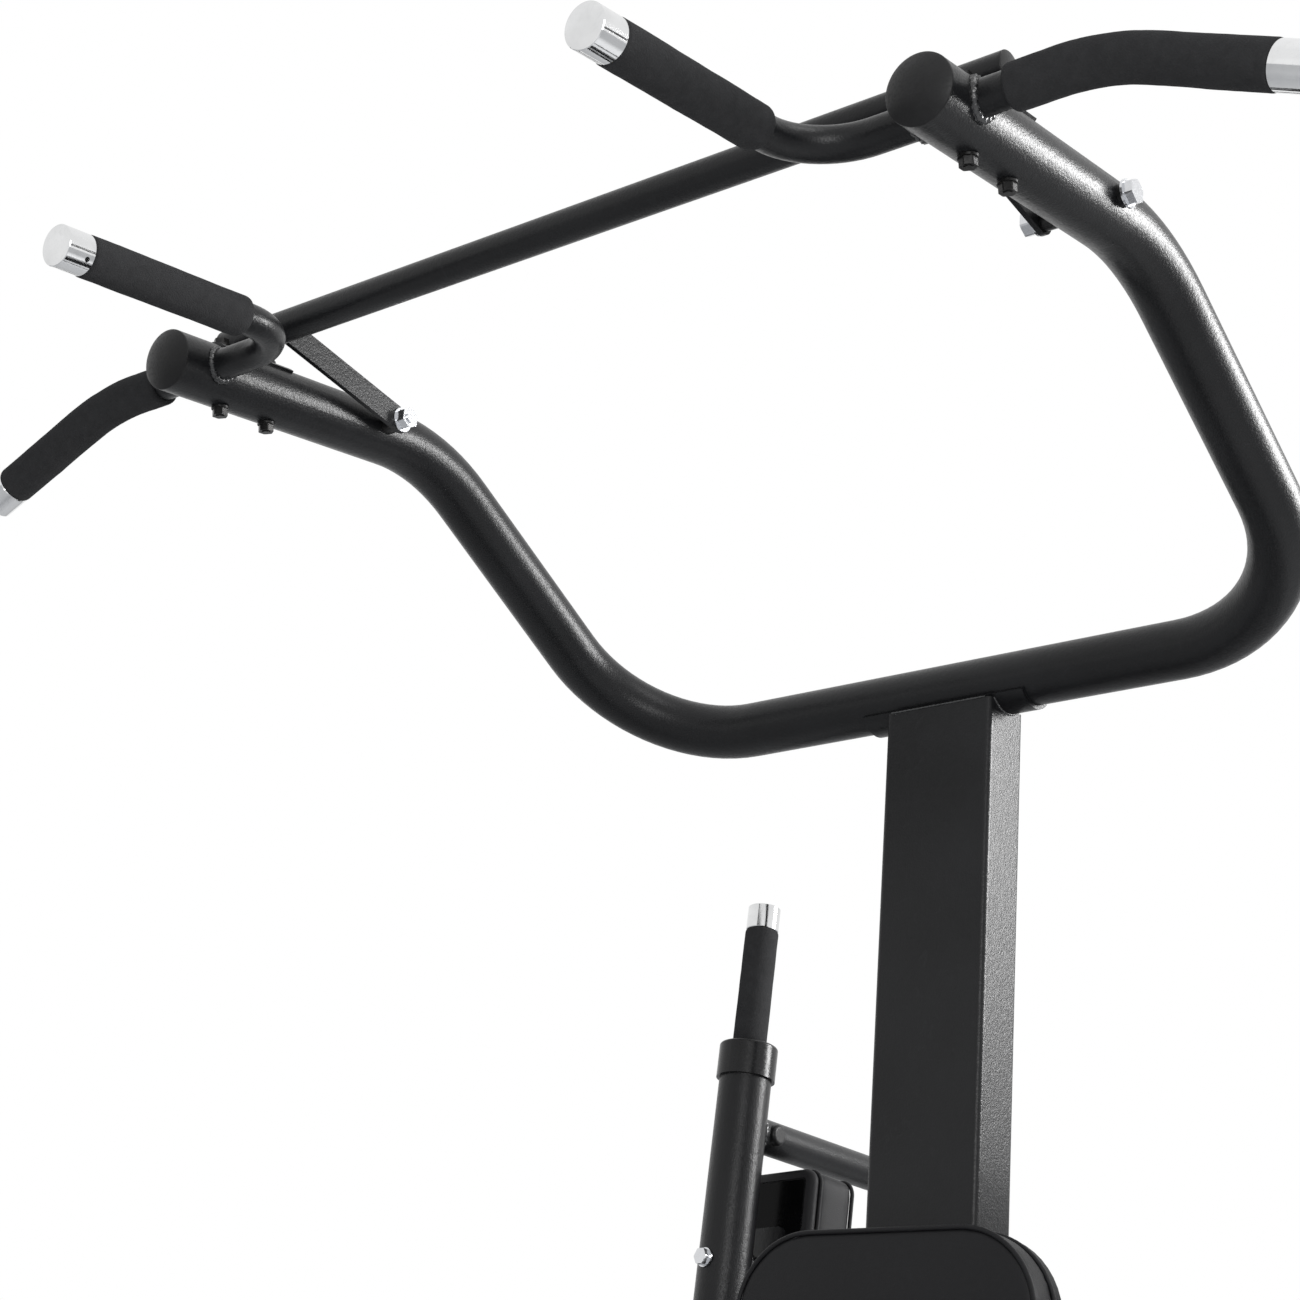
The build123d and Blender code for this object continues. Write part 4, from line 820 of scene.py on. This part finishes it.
def finish_sleeve(obj, outer, rounding, ends, unevenness, swirl):
    """Closes the skin, rounds the ends and makes the surface uneven, for each swirl in its own way."""
    bpy.ops.mesh.select_all(action="SELECT")
    bpy.ops.mesh.remove_doubles(threshold=0.001 * MM)
    bpy.ops.mesh.normals_make_consistent(inside=False)
    for end, normal in ends:
        round_rim(obj, end, normal, outer, rounding)
    apply_modifier(obj, "SUBSURF", levels=1, render_levels=1, subdivision_type="SIMPLE")
    for vertex in obj.data.vertices:
        spot = vertex.co * FOAM_WAVES + Vector((swirl, 0.0, 0.0))
        drift = noise.noise(spot) + 0.5 * noise.noise(spot * 3.1)
        vertex.co += vertex.normal * (unevenness * 0.6 * drift)
    smooth_below(50)
    return obj


def straight_sleeve(start, direction, length, settings, swirl, steps=14):
    """Foam sleeve of a grip or handle."""
    outer = settings.foam_radius
    sleeve = sleeve_ring(start, direction, outer, settings.bar_radius)
    run_on(direction * length, steps)
    ends = (start, direction), (start + direction * length, direction)
    return finish_sleeve(sleeve, outer, settings.end_round, ends, settings.unevenness, swirl)


def node_axis(node, direction):
    """Start and length of the centre line of a node's straight round solid on the +X side."""
    points = [v.co for v in frame["nodes"][node].data.vertices if v.co.x > 0]
    along = [point.dot(direction) for point in points]
    across = [point - direction * reach for point, reach in zip(points, along)]
    middle = Vector((min(p[k] for p in across) + max(p[k] for p in across)) / 2 for k in range(3))
    middle -= direction * middle.dot(direction)
    return middle + direction * min(along), max(along) - min(along)


def pair_of_sleeves(right, stem, body, node):
    """Dresses a right-hand sleeve and its mirrored twin."""
    left = mirrored(right, f"left_{stem}")
    for piece, side in ((right, "right"), (left, "left")):
        dress(piece, f"{side}_{stem}", body, "foam", node)


def inner_grip_way(settings):
    """Direction of the inner grips, from their tips inwards."""
    return Vector((0.0, math.cos(settings.inner_rise), math.sin(settings.inner_rise)))


def outer_grip_way(settings, side):
    """Direction of the outer grip of one side, from its tip inwards."""
    return Vector((-side * math.cos(settings.outer_drop), 0.0, math.sin(settings.outer_drop)))


class CRUNCH_OT_inner_grip_foams(bpy.types.Operator):
    """Makes the straight foam sleeves on the two grips that point forward"""

    bl_idname = "crunch.inner_grip_foams"
    bl_label = "Inner grip foams"

    def execute(self, context):
        settings = context.scene.crunch_grips
        direction = inner_grip_way(settings)
        start, length = node_axis("inner_grip_foams", direction)
        start -= direction * settings.cap_cut
        length += settings.cap_cut
        right = straight_sleeve(start, direction, length, settings, swirl=1.7)
        pair_of_sleeves(right, "inner_grip_sleeve", "frame", "inner_grip_foams")
        return {"FINISHED"}


class CRUNCH_OT_outer_grip_foams(bpy.types.Operator):
    """Makes the bent foam sleeves on the two grips that slope out and down"""

    bl_idname = "crunch.outer_grip_foams"
    bl_label = "Outer grip foams"

    def execute(self, context):
        settings = context.scene.crunch_grips
        outer = settings.foam_radius
        drop = settings.outer_drop
        low, high = node_box("outer_grip_foams")
        corner = Vector((settings.outer_bend, (low.y + high.y) / 2, high.z - outer))
        start = corner.copy()
        start.x = settings.outer_start
        level = Vector((1.0, 0.0, 0.0))
        slope = Vector((math.cos(drop), 0.0, -math.sin(drop)))
        tangent = settings.outer_radius * math.tan(drop / 2)
        bend_start = corner - level * tangent
        centre = bend_start - Vector((0.0, 0.0, settings.outer_radius))
        sleeve = sleeve_ring(start, level, outer, settings.bar_radius)
        run_on(bend_start - start, 4)
        bpy.ops.mesh.spin(steps=10, angle=drop, center=centre, axis=(0.0, -1.0, 0.0))
        run_on(slope * (settings.outer_reach - tangent), 9)
        ends = (start, level), (corner + slope * settings.outer_reach, slope)
        finish_sleeve(sleeve, outer, settings.end_round, ends, settings.unevenness, swirl=5.3)
        pair_of_sleeves(sleeve, "outer_grip_sleeve", "frame", "outer_grip_foams")
        return {"FINISHED"}


class CRUNCH_OT_lever_foams(bpy.types.Operator):
    """Makes the foam sleeves on the lever's two upright handles"""

    bl_idname = "crunch.lever_foams"
    bl_label = "Handle foams"

    def execute(self, context):
        recline = context.scene.crunch_pads.recline
        direction = Vector((0.0, math.sin(recline), math.cos(recline)))
        start, length = node_axis("lever_foams", direction)
        right = straight_sleeve(start, direction, length, context.scene.crunch_grips, swirl=9.1, steps=10)
        pair_of_sleeves(right, "handle_sleeve", "lever", "lever_foams")
        return {"FINISHED"}


class CRUNCH_OT_roller_foams(bpy.types.Operator):
    """Makes the two fat foam rollers that hold the feet"""

    bl_idname = "crunch.roller_foams"
    bl_label = "Roller foams"

    def execute(self, context):
        settings = context.scene.crunch_grips
        along = Vector((1.0, 0.0, 0.0))
        for side, swirl in (("right", 1), ("left", -1)):
            node = f"{side}_roller_foam"
            low, high = node_box(node)
            outer = (high.z - low.z) / 2
            start = (low + high) / 2
            start.x = low.x
            run = along * (high.x - low.x)
            roller = sleeve_ring(start, along, outer, settings.roller_bore)
            run_on(run, 16)
            ends = (start, along), (start + run, along)
            finish_sleeve(roller, outer, settings.roller_round, ends, settings.unevenness, swirl)
            dress(roller, f"{side}_roller_sleeve", f"{side}_roller", "foam", node)
        return {"FINISHED"}


# ---------------------------------------------------------------- grip caps
class CRUNCH_OT_grip_caps(bpy.types.Operator):
    """Makes the plated caps of the four grips, cut shorter at the foam with their tips left in place"""

    bl_idname = "crunch.grip_caps"
    bl_label = "Grip caps"

    def execute(self, context):
        settings = context.scene.crunch_grips
        # the copy isn't merged, so that it keeps the shading of the solids' curved faces
        caps = bpy.data.objects.new("plated_caps", frame["nodes"]["grip_caps"].data.copy())
        context.collection.objects.link(caps)
        for side in (1, -1):
            for outer in (False, True):
                cup = [
                    vertex
                    for vertex in caps.data.vertices
                    if vertex.co.x * side > 0 and (abs(vertex.co.x) > settings.outer_start) == outer
                ]
                inward = outer_grip_way(settings, side) if outer else inner_grip_way(settings)
                tip = min(vertex.co.dot(inward) for vertex in cup)
                for vertex in cup:
                    if vertex.co.dot(inward) > tip + settings.cap_face:
                        vertex.co -= inward * settings.cap_cut
        dress(caps, "plated_caps", "frame", "chrome", "grip_caps")
        return {"FINISHED"}


# -------------------------------------------------------------------- plugs
# the right arm's and the crossbar's plug: (top of the dome, direction outwards, radius, depth)
ARM_PLUG = (0.402, -0.61882, 2.064), (0.00281, -0.98622, -0.16531), 28.5 * MM, 9.0 * MM
CROSSBAR_PLUG = (0.428, -0.52563, 2.12626), (1.0, 0.0, 0.0), 15.0 * MM, 4.0 * MM
DOME_RINGS = 9


def domed_plug(tip, outward, radius, depth, settings):
    """Plug on the end of a tube: a short lip with a crisp rim, and a shallow dome out to 'tip'."""
    outward = Vector(outward).normalized()
    foot = Vector(tip) - outward * depth
    lip = min(settings.plug_lip, 0.4 * depth)
    level = foot + outward * lip
    dome = depth - lip
    ball = (radius**2 + dome**2) / (2 * dome)
    widest = math.asin(radius / ball)
    obj = disc(foot, outward, radius, 64)
    run_on(outward * lip)
    width, rise = radius, 0.0
    for ring in range(1, DOME_RINGS):
        angle = widest * (1 - ring / DOME_RINGS)
        climb = ball * math.cos(angle) - (ball - dome)
        run_on(outward * (climb - rise))
        shrink = ball * math.sin(angle) / width
        bpy.ops.transform.resize(value=(shrink, shrink, shrink), center_override=level + outward * climb)
        width, rise = ball * math.sin(angle), climb
    pick(obj, lambda e: all(abs((v.co - level).dot(outward)) < TOUCH for v in e.verts), "EDGE")
    bpy.ops.mesh.bevel(offset=settings.plug_rim, offset_type="OFFSET", segments=3, affect="EDGES")
    point_outwards(obj)
    smooth_below(35)
    return obj


class CRUNCH_OT_round_plugs(bpy.types.Operator):
    """Makes the domed plugs in the frame's arms and in the crossbar"""

    bl_idname = "crunch.round_plugs"
    bl_label = "Round plugs"

    def execute(self, context):
        settings = context.scene.crunch_grips
        arm = domed_plug(*ARM_PLUG, settings)
        bar = domed_plug(*CROSSBAR_PLUG, settings)
        right = merge_into(arm, [bar])
        plugs = merge_into(right, [mirrored(right, "left_plugs")])
        dress(plugs, "domed_plugs", "frame", "black_plastic", "round_end_plugs")
        return {"FINISHED"}


# -------------------------------------------------------------------- welds
# piece that is welded on, piece that carries it, and how fat the bead is if it isn't a plain one
UPPER_JOINTS = (
    ("inner_grip_rods", "chin_frame", 1.1),
    ("outer_grip_rods", "chin_frame", 1.25),
    ("crossbar_struts", "chin_frame"),
    ("upright", "chin_saddle", 0.45),
    ("upright", "base_beam"),
    ("column_gussets", "upright"),
    ("pivot_plates", "upright"),
    ("pivot_housing", "pivot_plates"),
    ("link_beam", "upright"),
    ("back_pad_brackets", "upright"),
)
FLOOR_JOINTS = (
    ("base_beam", "cross_feet"),
    ("rear_post", "base_beam"),
    ("roller_post", "base_beam"),
    ("seat_sleeve", "base_beam"),
    ("foot_plate", "base_beam"),
    ("link_beam", "rear_post"),
)
LEVER_JOINTS = (
    ("rear_loops", "lever_posts"),
    ("rear_cross_tube", "rear_loops"),
    ("arm_pad_brackets", "lever_posts"),
)


RIPPLE = (1.14, 0.98, 0.84)  # how fat a bead is, from point to point of one ripple


def joint_edges(mesh, surface, reach):
    """Sharp edges of one piece that lie on the other piece's surface."""

    def touches(vertex):
        place = surface.find_nearest(vertex.co, reach * 4)[0]
        return place is not None and (place - vertex.co).length < reach

    on_surface = {vertex for vertex in mesh.verts if touches(vertex)}
    return [
        edge
        for edge in mesh.edges
        if edge.verts[0] in on_surface
        and edge.verts[1] in on_surface
        and len(edge.link_faces) == 2
        and edge.calc_face_angle(0.0) > math.radians(25)
    ]


def chains(edges):
    """Runs of joined edges, each as a list of places in order."""
    left = dict.fromkeys(edges)  # unlike a set, it gives the edges in the same order every time
    runs = []
    while left:
        edge = next(iter(left))
        del left[edge]
        run = [edge.verts[0], edge.verts[1]]
        for _ in range(2):
            while True:
                onward = [e for e in run[-1].link_edges if e in left]
                if not onward:
                    break
                del left[onward[0]]
                run.append(onward[0].other_vert(run[-1]))
            run.reverse()
        runs.append([vertex.co.copy() for vertex in run])
    return runs


def even_steps(run, step):
    """The same run with its points at even distances."""
    lengths = [(b - a).length for a, b in zip(run, run[1:])]
    total = run_length(run)
    count = max(6, round(total / step))
    points = []
    for index in range(count + 1):
        want = total * index / count
        for (a, b), length in zip(zip(run, run[1:]), lengths):
            if want <= length or length == lengths[-1] and b is run[-1]:
                points.append(a.lerp(b, min(1.0, want / max(length, 1e-9))))
                break
            want -= length
    return points


def bead(points, closed, radius):
    """Rippled weld bead laid along a run of places."""
    bpy.ops.mesh.primitive_circle_add(vertices=len(points), radius=0.01)
    obj = bpy.context.object
    for vertex, place in zip(obj.data.vertices, points):
        vertex.co = place
    if not closed:
        bpy.ops.object.mode_set(mode="EDIT")
        ends = {0, len(points) - 1}
        pick(obj, lambda e: {e.verts[0].index, e.verts[1].index} == ends, "EDGE")
        bpy.ops.mesh.delete(type="EDGE")
        bpy.ops.object.mode_set(mode="OBJECT")
    bpy.ops.object.convert(target="CURVE")
    curve = bpy.context.object
    curve.data.bevel_depth = radius
    curve.data.bevel_resolution = 1
    curve.data.use_fill_caps = True
    for index, point in enumerate(curve.data.splines[0].points):
        point.radius = RIPPLE[index % len(RIPPLE)]
    take_hold(curve)
    bpy.ops.object.convert(target="MESH")
    bpy.ops.object.shade_smooth()
    return bpy.context.object


def column_top_run():
    """Line along the column's top edge at the front, where it is sealed to the saddle."""
    points = [vertex.co for vertex in frame["nodes"]["upright"].data.vertices]
    front = min(point.y for point in points)
    face = [point for point in points if point.y < front + TOUCH]
    top = max(point.z for point in face)
    edge = [point.x for point in face if point.z > top - 1 * MM]
    return [Vector((min(edge), front, top)), Vector((max(edge), front, top))]


def run_length(run):
    return sum((b - a).length for a, b in zip(run, run[1:]))


def lay_welds(name, body, joints, settings, seam=None):
    """Lays beads along every joint of a list, and a fine one along a seam, and joins them into one piece."""
    step = settings.pitch / len(RIPPLE)
    beads = [bead(even_steps(seam, step), False, settings.seam)] if seam else []
    for node, carrier, *scale in joints:
        radius = settings.bead * (scale[0] if scale else 1.0)
        mesh = bmesh.new()
        mesh.from_mesh(frame["nodes"][node].data)
        bmesh.ops.remove_doubles(mesh, verts=mesh.verts, dist=TOUCH)
        other = bmesh.new()
        other.from_mesh(frame["nodes"][carrier].data)
        surface = BVHTree.FromBMesh(other)
        for run in chains(joint_edges(mesh, surface, settings.reach)):
            if run_length(run) >= settings.shortest:
                closed = (run[0] - run[-1]).length < 10 * TOUCH
                points = even_steps(run, step)
                beads.append(bead(points[:-1] if closed else points, closed, radius))
        mesh.free()
        other.free()
    piece = merge_into(beads[0], beads[1:])
    point_outwards(piece)
    return dress(piece, name, body, "frame_paint", finish="weld_bead")


class CRUNCH_OT_welds(bpy.types.Operator):
    """Lays painted weld beads where the steel pieces meet"""

    bl_idname = "crunch.welds"
    bl_label = "Welds"

    def execute(self, context):
        settings = context.scene.crunch_welds
        lay_welds("upper_frame_welds", "frame", UPPER_JOINTS, settings, column_top_run())
        lay_welds("floor_frame_welds", "frame", FLOOR_JOINTS, settings)
        lay_welds("lever_welds", "lever", LEVER_JOINTS, settings)
        return {"FINISHED"}


# ------------------------------------------------------------------- finishes
class CRUNCH_OT_finishes(bpy.types.Operator):
    """Makes the materials and paints the rigid parts with them"""

    bl_idname = "crunch.finishes"
    bl_label = "Finishes"

    def execute(self, context):
        FINISHES.update(make_finishes(context.scene.crunch_finish))
        for name, node in frame["nodes"].items():
            # the elbow pads' boards get the shell finish, whose dark colour is painted shade for the recess
            # they sit in
            material = FINISHES["shade_darkened_shell" if name == "arm_pad_boards" else FRAME_SLOTS[name]]
            if not node.material_slots:
                node.data.materials.append(material)
            for place in node.material_slots:
                place.material = material
        return {"FINISHED"}


# ---------------------------------------------------------------------- stage
CAMERA_PLACE = (1.2272, -1.86082, 1.0121)
CAMERA_RIGHT = (0.7887, 0.6098, 0.0784)
CAMERA_FORWARD = (-0.5901, 0.7152, 0.3746)
# name, place, what it shines at, width, height, and the setting that holds its power
SOFTBOXES = (
    ("rear_softbox", (2.22, 2.14, 2.84), (0.0, 0.0, 1.95), 1.1, 1.3, "key_power"),
    ("front_softbox", (2.3, -2.9, 1.9), (0.0, 0.0, 1.7), 1.6, 1.6, "front_power"),
    ("top_softbox", (1.6, -0.6, 4.6), (0.0, -0.3, 1.9), 2.0, 1.2, "top_power"),
)


def mirror_rays(tree, path):
    """1 for rays that come from polished metal, 0 for others."""
    return math_node(tree, "MAXIMUM", path.outputs["Is Glossy Ray"], path.outputs["Is Transmission Ray"])


class CRUNCH_OT_stage(bpy.types.Operator):
    """Sets the camera, the floor, the softboxes and the pale surroundings"""

    bl_idname = "crunch.stage"
    bl_label = "Stage"

    def execute(self, context):
        settings = context.scene.crunch_stage
        self.camera(settings)
        self.floor(settings)
        self.surroundings(settings)
        for name, place, aim, wide, tall, power in SOFTBOXES:
            self.softbox(name, place, aim, wide, tall, getattr(settings, power))
        return {"FINISHED"}

    def camera(self, settings):
        data = bpy.data.cameras.new("camera")
        data.lens = settings.lens
        data.sensor_width = 36.0
        data.clip_end = 100.0
        camera = bpy.data.objects.new("camera", data)
        bpy.context.collection.objects.link(camera)
        forward = Vector(CAMERA_FORWARD).normalized()
        up = Vector(CAMERA_RIGHT).normalized().cross(forward).normalized()
        right = forward.cross(up).normalized()
        turn = Matrix((right, up, -forward)).transposed().to_4x4()
        camera.matrix_world = Matrix.Translation(CAMERA_PLACE) @ turn
        scene = bpy.context.scene
        scene.camera = camera
        scene.view_settings.view_transform = "Standard"

    def floor(self, settings):
        deselect_all()
        bpy.ops.mesh.primitive_plane_add(size=40.0, location=(0.0, 0.0, 0.0))
        floor = bpy.context.object
        floor.name = "floor"
        finish = Finish("pale floor", Roughness=0.7, Specular_IOR_Level=0.2)
        grain = finish.group("coat grain", Grain_Scale=60.0, Cloud_Scale=1.2)
        finish.colour(grain["Cloud"], lighter(settings.floor, 0.98), tuple(settings.floor))
        self.fade_out(finish.tree, finish.shader)
        floor.data.materials.append(finish.material)

    def fade_out(self, tree, shader):
        """Lets the floor turn white with distance, to the camera and in polished metal."""
        glow = tree.nodes.new("ShaderNodeEmission")
        span = tree.nodes.new("ShaderNodeVectorMath")
        span.operation = "LENGTH"
        tree.links.new(object_coordinates(tree), span.inputs[0])
        far = ramp_node(tree, span.outputs["Value"], 1.1, 4.2)
        far.node.interpolation_type = "SMOOTHSTEP"
        path = tree.nodes.new("ShaderNodeLightPath")
        mirrored_part = math_node(tree, "MULTIPLY", mirror_rays(tree, path), 0.3)
        seen = math_node(tree, "MAXIMUM", path.outputs["Is Camera Ray"], mirrored_part)
        blend = self.mixed(tree, math_node(tree, "MULTIPLY", far, seen), shader, glow)
        output = next(node for node in tree.nodes if node.type == "OUTPUT_MATERIAL")
        tree.links.new(blend.outputs[0], output.inputs["Surface"])

    def softbox(self, name, place, aim, wide, tall, power):
        data = bpy.data.lights.new(name, "AREA")
        data.shape = "RECTANGLE"
        data.size = wide
        data.size_y = tall
        data.energy = power
        lamp = bpy.data.objects.new(name, data)
        bpy.context.collection.objects.link(lamp)
        lamp.location = place
        lamp.rotation_euler = (Vector(aim) - Vector(place)).to_track_quat("-Z", "Y").to_euler()

    def surroundings(self, settings):
        """White to the camera, a pale horizon under a shaded ceiling to polished metal, dimmer as light."""
        world = bpy.data.worlds.new("pale room")
        bpy.context.scene.world = world
        world.use_nodes = True
        tree = world.node_tree
        tree.nodes.clear()
        output = tree.nodes.new("ShaderNodeOutputWorld")
        path = tree.nodes.new("ShaderNodeLightPath")
        seen = self.background(tree, (1.0, 1.0, 1.0), 1.0)
        light = self.background(tree, (0.92, 0.95, 1.0), settings.room_light)
        mirrored_room = self.background(tree, (1.0, 1.0, 1.0), 1.0)
        direction = tree.nodes.new("ShaderNodeSeparateXYZ")
        tree.links.new(tree.nodes.new("ShaderNodeTexCoord").outputs["Generated"], direction.inputs[0])
        climb = ramp_node(tree, direction.outputs["Z"], 0.13, 0.30)
        crown = ramp_node(tree, direction.outputs["Z"], 0.75, 0.95)
        shade = math_node(tree, "SUBTRACT", climb, crown)
        darkening = math_node(tree, "MULTIPLY", shade, 1.0 - settings.room_shade)
        level = math_node(tree, "SUBTRACT", 1.0, darkening)
        tree.links.new(level, mirrored_room.inputs["Strength"])
        reflected = self.mixed(tree, mirror_rays(tree, path), light, mirrored_room)
        shown = self.mixed(tree, path.outputs["Is Camera Ray"], reflected, seen)
        tree.links.new(shown.outputs[0], output.inputs["Surface"])

    def background(self, tree, rgb, strength):
        node = tree.nodes.new("ShaderNodeBackground")
        node.inputs["Color"].default_value = (*rgb, 1.0)
        node.inputs["Strength"].default_value = strength
        return node

    def mixed(self, tree, factor, first, second):
        node = tree.nodes.new("ShaderNodeMixShader")
        tree.links.new(factor, node.inputs["Fac"])
        tree.links.new(first.outputs[0], node.inputs[1])
        tree.links.new(second.outputs[0], node.inputs[2])
        return node


# ---------------------------------------------------------------------- panel
class CRUNCH_PT_panel(bpy.types.Panel):
    """Lists what the script makes"""

    bl_label = "Ab crunch machine"
    bl_idname = "CRUNCH_PT_panel"
    bl_space_type = "VIEW_3D"
    bl_region_type = "UI"
    bl_category = "Crunch"

    def draw(self, context):
        for group in SETTINGS:
            box = self.layout.box()
            settings = getattr(context.scene, group)
            for label in settings.__annotations__:
                box.prop(settings, label)
        for operator in OPERATORS:
            self.layout.operator(operator.bl_idname)


SETTINGS = {
    "crunch_finish": FinishSettings,
    "crunch_pads": PadSettings,
    "crunch_grips": GripSettings,
    "crunch_welds": WeldSettings,
    "crunch_stage": StageSettings,
}
OPERATORS = (
    CRUNCH_OT_finishes,
    CRUNCH_OT_stage,
    CRUNCH_OT_back_pad,
    CRUNCH_OT_seat_pad,
    CRUNCH_OT_elbow_pads,
    CRUNCH_OT_inner_grip_foams,
    CRUNCH_OT_outer_grip_foams,
    CRUNCH_OT_lever_foams,
    CRUNCH_OT_roller_foams,
    CRUNCH_OT_grip_caps,
    CRUNCH_OT_round_plugs,
    CRUNCH_OT_welds,
)


def register():
    for name, settings in SETTINGS.items():
        bpy.utils.register_class(settings)
        setattr(bpy.types.Scene, name, bpy.props.PointerProperty(type=settings))
    for cls in (*OPERATORS, CRUNCH_PT_panel):
        bpy.utils.register_class(cls)


def unregister():
    for cls in reversed((*OPERATORS, CRUNCH_PT_panel)):
        bpy.utils.unregister_class(cls)
    for name, settings in reversed(SETTINGS.items()):
        delattr(bpy.types.Scene, name)
        bpy.utils.unregister_class(settings)


def main():
    register()
    deselect_all()
    for operator in OPERATORS:
        category, name = operator.bl_idname.split(".")
        getattr(getattr(bpy.ops, category), name)()


if __name__ == "__main__":
    main()
